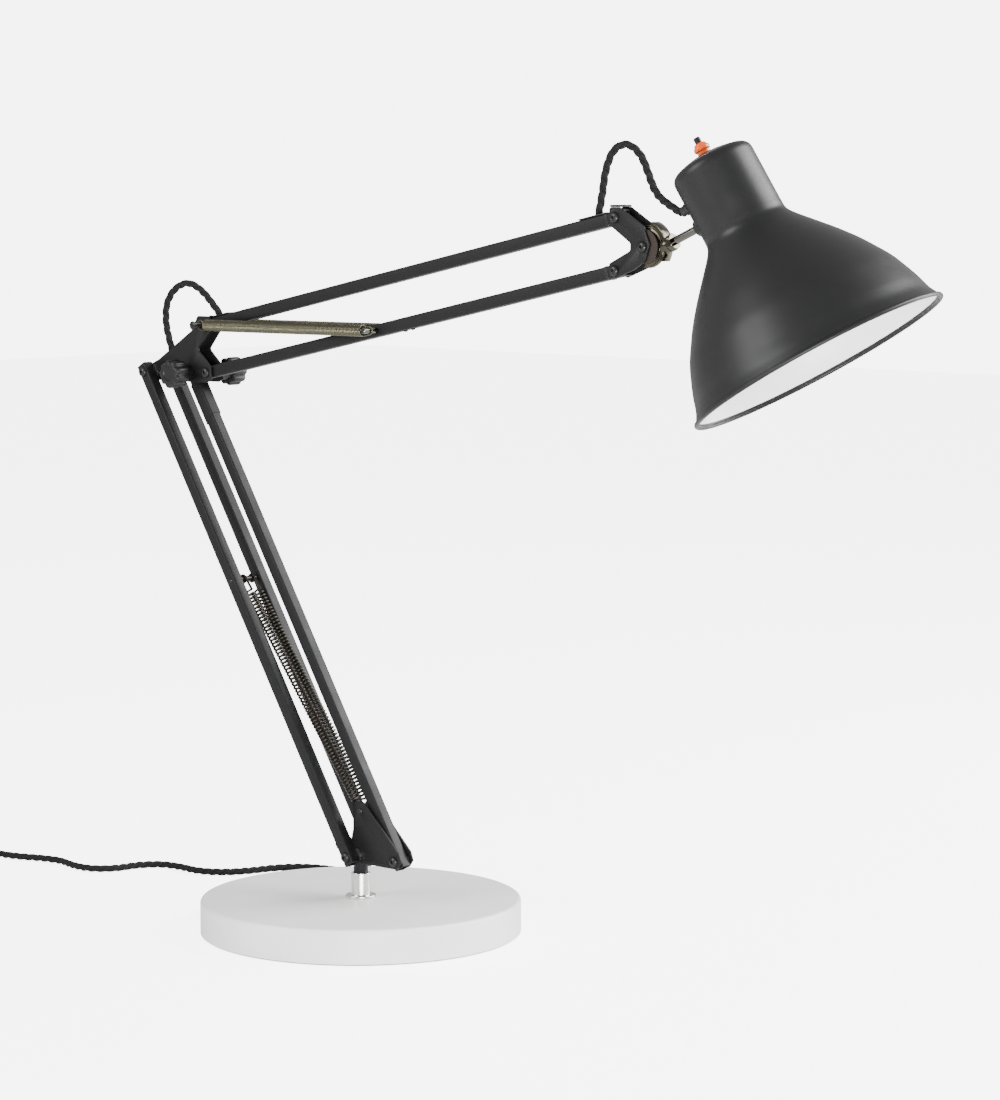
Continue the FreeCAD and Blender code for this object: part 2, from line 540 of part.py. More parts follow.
# ---------------------------------------------------------------- swivel knuckle
# A stepped brass disc between two friction washers, and the socket that grips the rod.
turned("swivel_disc", [
    ("bolt_dia / 2 + run_clearance", "-disc_thick / 2"), ("disc_dia / 2 - 2.6", "-disc_thick / 2"),
    ("disc_dia / 2 - 2.6", "-disc_thick / 2 + 1.6"), ("disc_dia / 2 - 1.2", "-disc_thick / 2 + 1.6"),
    ("disc_dia / 2 - 1.2", "-disc_thick / 2 + 3"), ("disc_dia / 2", "-disc_thick / 2 + 3"),
    ("disc_dia / 2", "disc_thick / 2"), ("bolt_dia / 2 + run_clearance", "disc_thick / 2")],
    across_y(tilt))
friction = []
for sign in (-1, 1):
    start = tilt + AXIS_Y * sign * number("disc_thick / 2")
    thick = number("plate_gap / 2 - side_clearance - disc_thick / 2")
    ring = Part.makeCylinder(number("friction_dia / 2"), thick, start, AXIS_Y * sign)
    friction.append(ring.cut(Part.makeCylinder(number(BORE) / 2, thick, start, AXIS_Y * sign)))
shape_part("friction_washers", Part.makeCompound(friction))
rod_turn = Rotation(AXIS_Y, -number("rod_angle"))
rod_dir = rod_turn.multVec(AXIS_X)
rod_foot = tilt - rod_turn.multVec(AXIS_Z) * number("rod_drop")
rod_base = rod_foot + rod_dir * number("rod_start")
mount = rod_base + rod_dir * number("rod_length")
half_disc = number("disc_dia / 2")
disc_thick = number("disc_thick")
yoke_out = half_disc + number("yoke_wall")
yoke = Part.makeCylinder(yoke_out, disc_thick, tilt - AXIS_Y * disc_thick / 2, AXIS_Y,
                         number("yoke_sweep"))
yoke.rotate(tilt, AXIS_Y, number("yoke_start"))
socket = Part.makeCylinder(number("socket_dia / 2"), number("rod_start"), rod_foot, rod_dir)
gap = Part.makeCylinder(half_disc, 3 * disc_thick, tilt - AXIS_Y * 1.5 * disc_thick, AXIS_Y)
rod_bore = Part.makeCylinder(number("rod_dia / 2"), number("rod_start"), rod_foot, rod_dir)
shape_part("rod_socket", yoke.fuse(socket).cut(gap).cut(rod_bore).removeSplitter())


def on_rod(distance):
    """Lays a turned body's axis along the rod, a distance out from the rod's base."""
    return FreeCAD.Placement(rod_base + rod_dir * distance, rod_turn.multiply(Rotation(AXIS_Y, 90)))


# The rod runs from inside the socket to the shade's boss, where the shade turns on its end.
rod_reach = "rod_length - neck_dia / 2 - boss_length / 2"
turned("rod", ring_profile("0", "rod_dia / 2", "-rod_tail", rod_reach), on_rod(0))
turned("rod_nut", ring_profile("rod_dia / 2", "rod_nut_dia / 2", "0", "rod_nut_thick"), on_rod(0))

# ---------------------------------------------------------------- shade
shade_turn = rod_turn.multiply(Rotation(AXIS_X, number("shade_turn"))).multiply(
    Rotation(AXIS_Y, -number("shade_lean")))
shade_axis = shade_turn.multVec(AXIS_Z)
shade_place = FreeCAD.Placement(mount - shade_axis * number("mount_rise"), shade_turn)


def arc(first, last, bulge):
    """An arc in the XZ plane between two points, standing off its chord by a bulge."""
    chord = last - first
    side = Vector(chord.z, 0, -chord.x).normalize()
    middle = (first + last) * 0.5 + side * bulge
    return Part.Arc(first, middle, last).toShape()


def shade_shell(inset):
    """The solid inside the shade's outline, moved in by an inset, turned about Z."""
    def point(diameter, rise):
        return Vector(number(diameter) / 2 - inset, 0, number(rise))
    rim = Vector(number("rim_dia / 2 - bead_dia / 2") - inset, 0, 0)
    lip = point("lip_dia", "lip_rise")
    shoulder = point("shoulder_dia", "shoulder_rise")
    waist = point("waist_dia", "waist_rise")
    neck = point("neck_dia", "neck_foot")
    corner = Vector(number("neck_dia / 2") - inset, 0, number("neck_rise - neck_round"))
    top = Vector(number("neck_dia / 2 - neck_round"), 0, number("neck_rise") - inset)
    crown = Vector(0, 0, number("crown_rise") - inset)
    edges = [
        arc(rim, lip, -1.2), arc(lip, shoulder, 1.65), arc(shoulder, waist, 1.5),
        arc(waist, neck, -0.8), Part.LineSegment(neck, corner).toShape(),
        arc(corner, top, 1.2), arc(top, crown, 1.0), Part.LineSegment(crown, Vector(0, 0, 0)).toShape(),
        Part.LineSegment(Vector(0, 0, 0), rim).toShape()]
    return Part.Face(Part.Wire(edges)).revolve(Vector(0, 0, 0), AXIS_Z, 360)


wall = number("shade_wall")
bead_radius = number("bead_dia / 2")
bead = Part.makeTorus(number("rim_dia / 2") - bead_radius, bead_radius, Vector(0, 0, bead_radius), AXIS_Z)
shell = shade_shell(0).cut(shade_shell(wall)).fuse(bead)
switch_place = Vector(-number("switch_offset"), 0, 0)
switch_top = number("crown_rise") - 0.25
shell = shell.cut(Part.makeCylinder(
    number("collar_dia / 2 - 1.2"), 12, switch_place + AXIS_Z * (switch_top - 9), AXIS_Z))
shape_part("shade", shell.removeSplitter(), shade_place)


def in_shade(offset, turn=None):
    """A placement given in the shade's own frame, whose Z axis is the shade's axis."""
    return shade_place.multiply(FreeCAD.Placement(offset, turn or Rotation()))


# Boss on the neck, round the rod's end: a collar with a running bore, cut to the neck's curve.
neck_solid = Part.makeCylinder(number("neck_dia / 2"), number("neck_rise"))
neck_solid.Placement = shade_place
boss_start = mount - rod_dir * number("neck_dia / 2 + boss_length")
boss = Part.makeCylinder(number("boss_dia / 2"), number("boss_length + 4"), boss_start, rod_dir)
boss_bore = Part.makeCylinder(
    number("rod_dia / 2 + run_clearance"), number("boss_length / 2") + 0.3, boss_start, rod_dir)
shape_part("shade_boss", boss.cut(neck_solid).cut(boss_bore))

# Lampholder hung from the crown, and the bulb in it.
holder_low = "neck_rise - 4 - holder_length"
turned("lampholder", [
    ("0", "neck_rise - 6"), ("holder_bore_dia / 2", "neck_rise - 6"), ("holder_bore_dia / 2", holder_low),
    ("holder_dia / 2", holder_low), ("holder_dia / 2", "neck_rise - 9"),
    ("holder_neck_dia / 2", "crown_rise - collar_depth"), ("0", "crown_rise - collar_depth")], shade_place)
cap_top = "neck_rise - 8"
turned("bulb_cap", [
    ("0", cap_top), ("4", cap_top), ("cap_dia / 2", "%s - 4" % cap_top),
    ("cap_dia / 2", "%s - cap_length" % cap_top), ("0", "%s - cap_length" % cap_top)], shade_place)
bulb_top = number("%s - cap_length" % cap_top)
bulb_low = number("%s - bulb_length" % cap_top)
bulb_radius = number("bulb_dia / 2")
ball_centre = Vector(0, 0, bulb_low + bulb_radius)
throat = Vector(number("cap_dia / 2 - 0.4"), 0, bulb_top)
ball_side = ball_centre + Vector(bulb_radius * 0.94, 0, bulb_radius * 0.341)
glass_edges = [
    Part.Arc(Vector(0, 0, bulb_low), ball_centre + Vector(bulb_radius * 0.8, 0, -bulb_radius * 0.6),
             ball_side).toShape(),
    arc(ball_side, throat, -1.6), Part.LineSegment(throat, Vector(0, 0, bulb_top)).toShape(),
    Part.LineSegment(Vector(0, 0, bulb_top), Vector(0, 0, bulb_low)).toShape()]
shape_part("bulb_glass", Part.Face(Part.Wire(glass_edges)).revolve(Vector(0, 0, 0), AXIS_Z, 360), shade_place)

# Cord gland on the neck, and the switch on the crown.
gland_turn = Rotation(AXIS_Z, number("gland_turn")).multiply(Rotation(AXIS_Y, -90))
gland_out = Rotation(AXIS_Z, number("gland_turn")).multVec(Vector(-1, 0, 0))
gland_seat = gland_out * number("neck_dia / 2 - 0.35") + AXIS_Z * number("gland_rise")
turned("shade_gland", [
    ("0", "0"), ("gland_dia / 2", "0"), ("gland_dia / 2", "gland_length - 1"),
    ("gland_dia / 2 - 1", "gland_length"), ("0", "gland_length")], in_shade(gland_seat, gland_turn))
turned("switch_collar", [
    ("button_dia / 2 + run_clearance", "-collar_depth"), ("collar_dia / 2 - 1.25", "-collar_depth"),
    ("collar_dia / 2 - 1.25", "0"),
    ("collar_dia / 2", "0"), ("collar_dia / 2", "collar_rise * 0.6"),
    ("collar_dia / 2 - 1.6", "collar_rise"), ("button_dia / 2 + run_clearance", "collar_rise")],
    in_shade(switch_place + AXIS_Z * (switch_top + 0.25)))
turned("switch_button", [
    ("0", "1"), ("button_dia / 2", "1"), ("button_dia / 2", "collar_rise + button_rise - 0.5"),
    ("button_dia / 2 - 0.5", "collar_rise + button_rise"), ("0", "collar_rise + button_rise")],
    in_shade(switch_place + AXIS_Z * (switch_top + 0.25)))


# ---------------------------------------------------------------- springs
def spring(start, end, coil_dia, start_gap, end_gap, start_pin="pin_dia"):
    """A coil's envelope: an open tube between two pins, with an eye of wire round each pin."""
    wire = number("wire_dia / 2")
    reach = (end - start).normalize()
    tube_start = start + reach * start_gap
    tube_end = end - reach * end_gap
    length = (tube_end - tube_start).Length
    outside = coil_dia / 2
    tube = Part.makeCylinder(outside, length, tube_start, reach)
    tube = tube.cut(Part.makeCylinder(outside - 2 * wire, length, tube_start, reach))
    side = AXIS_Y.cross(reach).normalize()
    for pin, mouth, inward, pin_dia in (
            (start, tube_start, reach, start_pin), (end, tube_end, -reach, "pin_dia")):
        eye_radius = number("%s / 2 + wire_dia / 2 + side_clearance" % pin_dia)
        eye = Part.makeTorus(eye_radius, wire, pin, AXIS_Y)
        foot = pin + side * eye_radius
        top = mouth + side * (outside - wire) + inward * 0.6
        stalk = Part.makeCylinder(0.8 * wire, (top - foot).Length, foot, top - foot)
        tube = tube.fuse(stalk).fuse(eye)
    return tube


lower_coils = []
upper_coils = []
for sign in (-1, 1):
    shift = AXIS_Y * sign * number("lower_spring_shift")
    lower_coils.append(spring(
        lower_spring_pin + shift, foot_spring + shift, number("lower_spring_dia"),
        number("spring_top_gap"), number("spring_foot_gap")))
    shift = AXIS_Y * sign * number("upper_spring_shift")
    upper_coils.append(spring(
        arm_high + shift, upper_spring_pin + shift, number("upper_spring_dia"),
        number("upper_spring_gap"), number("upper_spring_end_gap"), "bolt_dia"))
shape_part("lower_springs", Part.makeCompound(lower_coils))
shape_part("upper_springs", Part.makeCompound(upper_coils))


# ---------------------------------------------------------------- cords
def cord(label, points):
    """A round cord along straight runs joined by tangent arcs, each as large as its runs allow."""
    edges = []
    radii = []
    last = points[0]
    for before, here, after in zip(points, points[1:], points[2:]):
        into = (here - before).normalize()
        out = (after - here).normalize()
        half_turn = into.getAngle(out) / 2
        trim = 0.45 * min((here - before).Length, (after - here).Length)
        radii.append(trim / math.tan(half_turn))
        start = here - into * trim
        finish = here + out * trim
        middle_side = (out - into).normalize()
        centre = here + middle_side * (radii[-1] / math.cos(half_turn))
        middle = centre - middle_side * radii[-1]
        edges.append(Part.LineSegment(last, start).toShape())
        edges.append(Part.Arc(start, middle, finish).toShape())
        last = finish
    edges.append(Part.LineSegment(last, points[-1]).toShape())
    path = Part.Wire(edges)
    radius = number("cord_dia / 2")
    section = Part.Wire([Part.Circle(points[0], points[1] - points[0], radius).toShape()])
    tube = path.makePipeShell([section], True, False)
    ratio = tube.Volume / (math.pi * radius * radius * path.Length)
    print("%s: length %.1f, smallest radius %.1f, largest %.1f, volume over section times length %.4f"
          % (label, path.Length, min(radii), max(radii), ratio))
    shape_part(label, tube)
    return path.Length


# The mains cord leaves the outlet at the back, drops to the floor and wanders away to one side.
outlet_end = outlet_place.multVec(Vector(0, 0, number("outlet_length")))
floor_rise = number("cord_dia / 2 + 0.1")
floor_route = [
    outlet_end, Vector(-102.5, 113.0, 15.5), Vector(-115.0, 123.5, 8.0), Vector(-131.0, 131.5, floor_rise),
    Vector(-150.0, 136.5, floor_rise), Vector(-171.0, 136.0, floor_rise), Vector(-190.5, 127.5, floor_rise),
    Vector(-203.0, 110.0, floor_rise), Vector(-208.0, 89.5, floor_rise), Vector(-219.0, 71.0, floor_rise),
    Vector(-238.0, 62.0, floor_rise), Vector(-259.0, 65.0, floor_rise), Vector(-279.5, 62.5, floor_rise),
    Vector(-290.5, 46.0, floor_rise), Vector(-292.0, 26.0, floor_rise), Vector(-306.0, 12.0, floor_rise),
    Vector(-327.0, 12.5, floor_rise), Vector(-348.0, 19.5, floor_rise), Vector(-369.0, 15.0, floor_rise),
    Vector(-389.0, 6.5, floor_rise), Vector(-410.0, 4.6, floor_rise), Vector(-429.0, 4.4, floor_rise)]
cord("mains_cord", floor_route)

# Put-away length: one neat ring of turns, with a two-pin plug beside it.
coil_centre = Vector(-442.0, -31.0, 0)
coil = doc.addObject("Part::Cut", "cord_coil_ring")
for role, text in (("Base", "coil_dia / 2 + coil_band / 2"), ("Tool", "coil_dia / 2 - coil_band / 2")):
    drum = doc.addObject("Part::Cylinder", "cord_coil_" + role.lower())
    drum.setExpression("Radius", bound(text))
    drum.setExpression("Height", bound("coil_height"))
    drum.Placement.Base = coil_centre
    setattr(coil, role, drum)
keep(coil, "cord_coil")

plug_turn = Rotation(AXIS_Z, -90)
plug_nose = coil_centre + Vector(-number("coil_dia / 2 + coil_band / 2 + plug_width / 2") - 1, -8, 0)
plug_place = FreeCAD.Placement(plug_nose + AXIS_Z * number("plug_thick / 2"), plug_turn)
plug = new_body("plug_body")
plug_sketch = new_sketch(plug, "XY_Plane", "plug_outline")
polygon(plug_sketch, [
    ("-plug_length / 2", "-plug_width / 2 + 6"), ("-plug_length / 2 + 8", "-plug_width / 2"),
    ("plug_length / 2", "-plug_width / 2"), ("plug_length / 2", "plug_width / 2"),
    ("-plug_length / 2 + 8", "plug_width / 2"), ("-plug_length / 2", "plug_width / 2 - 6"),
    ("-plug_length / 2 - plug_tail", "cord_dia / 2 + 1"),
    ("-plug_length / 2 - plug_tail", "-cord_dia / 2 - 1")])
plug_pad = plug.newObject("PartDesign::Pad", "plug_pad")
plug_pad.Profile = plug_sketch
plug_pad.Midplane = True
plug_pad.setExpression("Length", bound("plug_thick"))
keep(plug, "plug_body", plug_place)
pins = []
for sign in (-1, 1):
    root = Vector(number("plug_length / 2"), sign * number("plug_pin_pitch / 2"), 0)
    pins.append(Part.makeCylinder(number("plug_pin_dia / 2"), number("plug_pin_length"), root, AXIS_X))
shape_part("plug_pins", Part.makeCompound(pins), plug_place)

# Loop over the elbow, from the spacer between the plates to the upper bar's top face.
elbow_route = [
    Vector(-191.5, 0, 406.6), Vector(-196.5, 0, 419.0), Vector(-200.0, 0, 432.5), Vector(-198.5, 0, 446.0),
    Vector(-189.0, 0, 457.0), Vector(-174.5, 0, 461.5), Vector(-161.0, 0, 456.0), Vector(-150.5, 0, 447.5),
    Vector(-141.0, 0, 438.2)]
cord("elbow_cord_loop", elbow_route)

# Loop over the head, from the upper bar's top face to the gland on the shade's neck.
gland_mouth = in_shade(gland_seat + gland_out * number("gland_length")).Base
head_route = [
    Vector(222.4, 0, 516.8), Vector(225.6, 0, 528.5), Vector(228.0, -0.5, 543.0), Vector(235.5, -1.5, 557.5),
    Vector(249.0, -3.0, 562.0), Vector(262.5, -4.8, 554.5), Vector(270.5, -6.8, 541.5),
    Vector(278.0, -9.6, 530.5), Vector(288.0, -13.0, 523.8), gland_mouth]
cord("head_cord_loop", head_route)

# ---------------------------------------------------------------- checks and export
doc.recompute()
for obj in doc.Objects:
    if "Invalid" in obj.State or "Error" in obj.State:
        raise RuntimeError("%s failed: %s" % (obj.Name, obj.State))
os.makedirs("parts", exist_ok=True)
for node in nodes:
    shape = node.Shape
    if shape.isNull() or not shape.isValid() or not shape.Solids:
        raise RuntimeError(node.Label + " has no valid solid")
for node in nodes:
    node.Shape.exportStep("parts/%s.step" % node.Label)
print("%d nodes written" % len(nodes))
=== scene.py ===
"""Balanced-arm desk lamp: how its pieces look, in metres, on the frame of its CAD parts."""
import json
import math

import bmesh
import bpy
import numpy as np
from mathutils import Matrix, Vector


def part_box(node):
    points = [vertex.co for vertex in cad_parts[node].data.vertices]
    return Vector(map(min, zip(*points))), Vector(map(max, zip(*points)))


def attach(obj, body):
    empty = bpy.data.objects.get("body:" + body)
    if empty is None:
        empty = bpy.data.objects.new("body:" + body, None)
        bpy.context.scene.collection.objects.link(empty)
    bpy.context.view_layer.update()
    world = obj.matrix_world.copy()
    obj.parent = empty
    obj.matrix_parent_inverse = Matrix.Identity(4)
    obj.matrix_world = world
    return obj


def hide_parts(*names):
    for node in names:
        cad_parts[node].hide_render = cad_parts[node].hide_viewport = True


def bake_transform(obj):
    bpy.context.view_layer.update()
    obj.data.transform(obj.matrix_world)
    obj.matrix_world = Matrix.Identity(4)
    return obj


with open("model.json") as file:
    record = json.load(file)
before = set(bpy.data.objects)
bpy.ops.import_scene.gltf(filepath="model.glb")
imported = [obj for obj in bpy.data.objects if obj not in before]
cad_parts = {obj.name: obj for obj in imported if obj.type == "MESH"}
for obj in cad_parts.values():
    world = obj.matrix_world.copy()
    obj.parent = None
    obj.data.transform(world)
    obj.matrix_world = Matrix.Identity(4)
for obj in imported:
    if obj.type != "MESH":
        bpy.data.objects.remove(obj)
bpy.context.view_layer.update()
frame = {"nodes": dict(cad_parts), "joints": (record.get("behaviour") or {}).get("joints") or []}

# ------------------------------------------------------------------------------- base cover
# A shallow round cover, spun from steel sheet over a cast weight and coated light grey.
# Its top edge is rolled to a small radius, and its rim stands just off the desk on felt.
MM = 0.001
UP = np.array((0.0, 0.0, 1.0))
ACROSS = np.array((0.0, 1.0, 0.0))


def feed(links, socket, value):
    """A socket given a plain number, or what another node puts out."""
    if isinstance(value, float):
        socket.default_value = value
    else:
        links.new(value, socket)


def maths(tree, operation, *values):
    """What one arithmetic node makes of its numbers or sockets."""
    step = tree.nodes.new("ShaderNodeMath")
    step.operation = operation
    for socket, value in zip(step.inputs, values):
        feed(tree.links, socket, value)
    return step.outputs["Value"]


def noise_at(nodes, links, scale, detail):
    """A noise over the piece's own coordinates, in metres."""
    place = nodes.new("ShaderNodeTexCoord")
    noise = nodes.new("ShaderNodeTexNoise")
    noise.inputs["Detail"].default_value = detail
    links.new(place.outputs["Object"], noise.inputs["Vector"])
    feed(links, noise.inputs["Scale"], scale)
    return noise.outputs["Fac"]


def spread(nodes, links, value, low, high):
    """The middle of a noise stretched to run from low to high."""
    ramp = nodes.new("ShaderNodeMapRange")
    ramp.inputs["From Min"].default_value = 0.3
    ramp.inputs["From Max"].default_value = 0.7
    feed(links, ramp.inputs["To Min"], low)
    feed(links, ramp.inputs["To Max"], high)
    links.new(value, ramp.inputs["Value"])
    return ramp.outputs["Result"]


def new_group(name, inputs, outputs):
    """An empty shader group with its named sockets, and its two end nodes."""
    group = bpy.data.node_groups.new(name, "ShaderNodeTree")
    for label, value in inputs:
        group.interface.new_socket(label, in_out="INPUT", socket_type="NodeSocketFloat").default_value = value
    for label in outputs:
        group.interface.new_socket(label, in_out="OUTPUT", socket_type="NodeSocketFloat")
    return group, group.nodes.new("NodeGroupInput"), group.nodes.new("NodeGroupOutput")


# Coated and moulded skin: fine orange peel in Height, slow unevenness of the coat in Tone, and
# handling marks in Sheen, which is the roughness itself.
coat_skin, skin_in, skin_out = new_group(
    "coat skin", (("Grain", 900.0), ("Rough", 0.5), ("Marks", 0.05)), ("Height", "Tone", "Sheen"))
links = coat_skin.links
links.new(noise_at(coat_skin.nodes, links, skin_in.outputs["Grain"], 2.0), skin_out.inputs["Height"])
slow = noise_at(coat_skin.nodes, links, 14.0, 3.0)
links.new(spread(coat_skin.nodes, links, slow, 0.94, 1.04), skin_out.inputs["Tone"])
limits = [maths(coat_skin, step, skin_in.outputs["Rough"], skin_in.outputs["Marks"])
          for step in ("SUBTRACT", "ADD")]
marks = noise_at(coat_skin.nodes, links, 55.0, 4.0)
links.new(spread(coat_skin.nodes, links, marks, limits[0], limits[1]), skin_out.inputs["Sheen"])


def coated(name, colour, rough, grain=900.0, depth=0.02, marks=0.04, metal=0.0, coat=0.0, shine=0.5):
    """A finish whose colour is toned by the coat's unevenness, with a fine bump of depth in mm."""
    material = bpy.data.materials.new(name)
    material.use_nodes = True
    nodes, links = material.node_tree.nodes, material.node_tree.links
    shader = nodes["Principled BSDF"]
    shader.inputs["Metallic"].default_value = metal
    shader.inputs["Specular IOR Level"].default_value = shine
    shader.inputs["Coat Weight"].default_value = coat
    shader.inputs["Coat Roughness"].default_value = 0.12
    skin = nodes.new("ShaderNodeGroup")
    skin.node_tree = coat_skin
    skin.inputs["Grain"].default_value = grain
    skin.inputs["Rough"].default_value = rough
    skin.inputs["Marks"].default_value = marks
    tint = nodes.new("ShaderNodeVectorMath")
    tint.operation = "SCALE"
    tint.inputs[0].default_value = colour
    links.new(skin.outputs["Tone"], tint.inputs["Scale"])
    links.new(tint.outputs["Vector"], shader.inputs["Base Color"])
    links.new(skin.outputs["Sheen"], shader.inputs["Roughness"])
    bump = nodes.new("ShaderNodeBump")
    bump.inputs["Distance"].default_value = depth * MM
    bump.inputs["Strength"].default_value = 0.6
    links.new(skin.outputs["Height"], bump.inputs["Height"])
    links.new(bump.outputs["Normal"], shader.inputs["Normal"])
    return material


def placed(name, data):
    """A new object in the scene."""
    piece = bpy.data.objects.new(name, data)
    bpy.context.scene.collection.objects.link(piece)
    return piece


def unit(vector):
    """The vector's direction, one long."""
    vector = np.asarray(vector, float)
    return vector / np.linalg.norm(vector)


def quads(rows, columns, wrap_rows):
    """The four corners of each cell of a grid of points that closes on itself along its columns."""
    row = np.arange(rows if wrap_rows else rows - 1)[:, None]
    column = np.arange(columns)[None, :]
    after_row, after = (row + 1) % rows, (column + 1) % columns
    corners = (row * columns + column, row * columns + after, after_row * columns + after,
               after_row * columns + column)
    return np.stack(np.broadcast_arrays(*corners), -1).reshape(-1, 4)


def solid(name, points, faces, finish, body=None, nodes=(), slot=None, crease=35.0):
    """A closed mesh with its doubles merged and its faces outward, smooth except past the crease."""
    mesh = bpy.data.meshes.new(name)
    mesh.from_pydata(np.asarray(points).reshape(-1, 3).tolist(), [], [list(face) for face in faces])
    shell = bmesh.new()
    shell.from_mesh(mesh)
    bmesh.ops.remove_doubles(shell, verts=shell.verts, dist=0.002 * MM)
    bmesh.ops.recalc_face_normals(shell, faces=shell.faces)
    shell.to_mesh(mesh)
    shell.free()
    mesh.polygons.foreach_set("use_smooth", [True] * len(mesh.polygons))
    mesh.set_sharp_from_angle(angle=math.radians(crease))
    piece = placed(name, mesh)
    mesh.materials.append(finish)
    if body:
        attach(piece, body)
    if nodes:
        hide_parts(*nodes)
    return piece


def softened(corners, steps=5):
    """Each corner given as (r, h, size) turns into a short curve: with p and q lying size away from
    the corner b along its two runs, the curve is (1 - t)^2 p + 2 t (1 - t) b + t^2 q."""
    t = np.linspace(0, 1, steps)[:, None]
    path = []
    for row, corner in enumerate(corners):
        b = np.array(corner[:2], float)
        if len(corner) < 3:
            path.append(b[None])
            continue
        back = unit(np.array(corners[row - 1][:2]) - b) * corner[2]
        on = unit(np.array(corners[(row + 1) % len(corners)][:2]) - b) * corner[2]
        path.append((1 - t) ** 2 * (b + back) + 2 * t * (1 - t) * b + t ** 2 * (b + on))
    return np.concatenate(path)


def in_metres(rows):
    """Rows of millimetres as rows of metres."""
    return [tuple(value * MM for value in row) for row in rows]


def turned(outline, foot, axis, steps=72, wave=None, share=None):
    """Points and faces of an outline turned round an axis: (r, h) goes to
    foot + h axis + r (cos t aside + sin t ahead), t once round. Where a wave is given, r is cut
    by share * wave(t). An outline that starts off the axis is a ring and closes on itself."""
    outline = np.asarray(outline, float)
    t = np.linspace(0, 2 * np.pi, steps, endpoint=False)
    axis = unit(axis)
    aside = unit(np.cross(axis, ACROSS if abs(axis[1]) < 0.9 else UP))
    ahead = np.cross(axis, aside)
    r = np.repeat(outline[:, :1], steps, 1)
    if wave is not None:
        r = r * (1 - np.asarray(share, float)[:, None] * wave(t)[None])
    spoke = np.cos(t)[:, None] * aside + np.sin(t)[:, None] * ahead
    points = np.asarray(foot) + outline[:, 1][:, None, None] * axis + r[..., None] * spoke
    return points, quads(len(outline), steps, outline[0, 0] > 1e-9)


base_low, base_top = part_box("base_cover")
base_radius = (base_top.x - base_low.x) / 2
base_wall = 1.5 * MM
stem_bore = 5 * MM
grey_coat = coated("light grey satin coat", (0.9, 0.9, 0.895), 0.42, 700.0, 0.012, 0.03)
base_inside, base_ceiling = base_radius - base_wall, base_top.z - base_wall
base_outline = softened([
    (stem_bore, base_top.z), (base_radius, base_top.z, 3 * MM), (base_radius, base_low.z, 0.5 * MM),
    (base_inside, base_low.z, 0.5 * MM), (base_inside, base_ceiling, 2 * MM), (stem_bore, base_ceiling)], 9)
solid("base_shell", *turned(base_outline, (0, 0, 0), UP, 192), grey_coat, "base", ["base_cover"],
      "grey_paint")


def finished(finish, slot, *names):
    """CAD nodes that stay as they are, with a finish of their own."""
    for name in names:
        frame["nodes"][name].data.materials.clear()
        frame["nodes"][name].data.materials.append(finish)


# ------------------------------------------------------------------------------- weight and felt
# The weight is a raw iron casting dropped in the cover, and the felt is a die-cut disc glued
# under it. The nut that holds the stem is plain zinc-plated steel.
raw_casting = coated("raw iron casting", (0.09, 0.088, 0.085), 0.7, 260.0, 0.25)
grey_felt = coated("grey felt", (0.2, 0.2, 0.2), 0.95, 1500.0, 0.3)
zinc_plate = coated("dull zinc plate", (0.4, 0.4, 0.39), 0.36, 1200.0, 0.01, 0.08, 1.0)
finished(raw_casting, "cast_weight", "base_weight")
finished(grey_felt, "felt", "base_felt")
finished(zinc_plate, "zinc", "stem_nut")

# ------------------------------------------------------------------------------- stem
# A turned steel bush with a thin flange, satin nickel plated, screwed down through the cover.
# The arm's post turns in it.
nickel_plate = coated("satin nickel plate", (0.72, 0.71, 0.69), 0.2, 1600.0, 0.006, 0.06, 1.0)
stem_low, stem_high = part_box("stem")
post_bore = 4 * MM
stem_radius = 7 * MM
flange_radius = 11 * MM
flange_top = base_top.z + 2 * MM
solid("stem_bush", *turned(softened([
    (post_bore, stem_low.z), (stem_bore, stem_low.z), (stem_bore, base_top.z),
    (flange_radius, base_top.z, 0.4 * MM), (flange_radius, flange_top, 0.6 * MM),
    (stem_radius, flange_top, 0.5 * MM), (stem_radius, stem_high.z, 0.5 * MM),
    (post_bore, stem_high.z, 0.2 * MM)]), (0, 0, 0), UP), nickel_plate, "base", ["stem"], "nickel")


def eased(node, finish, width, body):
    """A copy of a CAD node, merged, with its flat faces whole again and its edges eased."""
    mesh = frame["nodes"][node].data.copy()
    mesh.materials.clear()
    mesh.materials.append(finish)
    shell = bmesh.new()
    shell.from_mesh(mesh)
    bmesh.ops.remove_doubles(shell, verts=shell.verts, dist=0.002 * MM)
    bmesh.ops.dissolve_limit(
        shell, angle_limit=math.radians(1), verts=shell.verts, edges=shell.edges)
    shell.to_mesh(mesh)
    shell.free()
    mesh.polygons.foreach_set("use_smooth", [True] * len(mesh.polygons))
    piece = placed(node + "_eased", mesh)
    bevel = piece.modifiers.new("eased edges", "BEVEL")
    bevel.width = width
    bevel.segments = 2
    bevel.limit_method = "ANGLE"
    bevel.angle_limit = math.radians(40)
    bevel.harden_normals = True
    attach(piece, body)
    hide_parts(node)
    return piece


# ------------------------------------------------------------------------------- foot
# Two plates cut from sheet steel stand on the post, with a web between them. All of it is coated
# matt black, and it swings as one on the base.
black_coat = coated("matt black powder coat", (0.006, 0.006, 0.0063), 0.46, 1100.0, 0.02, 0.05, shine=0.22)
PLATE_EASE = 0.3 * MM
for node in ("foot_post", "foot_plate_near", "foot_plate_far"):
    eased(node, black_coat, PLATE_EASE, "foot")


# ------------------------------------------------------------------------------- pivot bolts
# Each pivot is a button-head screw with a hex socket, held by a plain nut, in blackened steel.
# The pins that the springs hook on are rivets with domed ends.
blackened_steel = coated("blackened steel", (0.03, 0.03, 0.029), 0.3, 1400.0, 0.01, 0.08, 0.7, shine=0.3)
SCREW_HEAD = 2.1 * MM


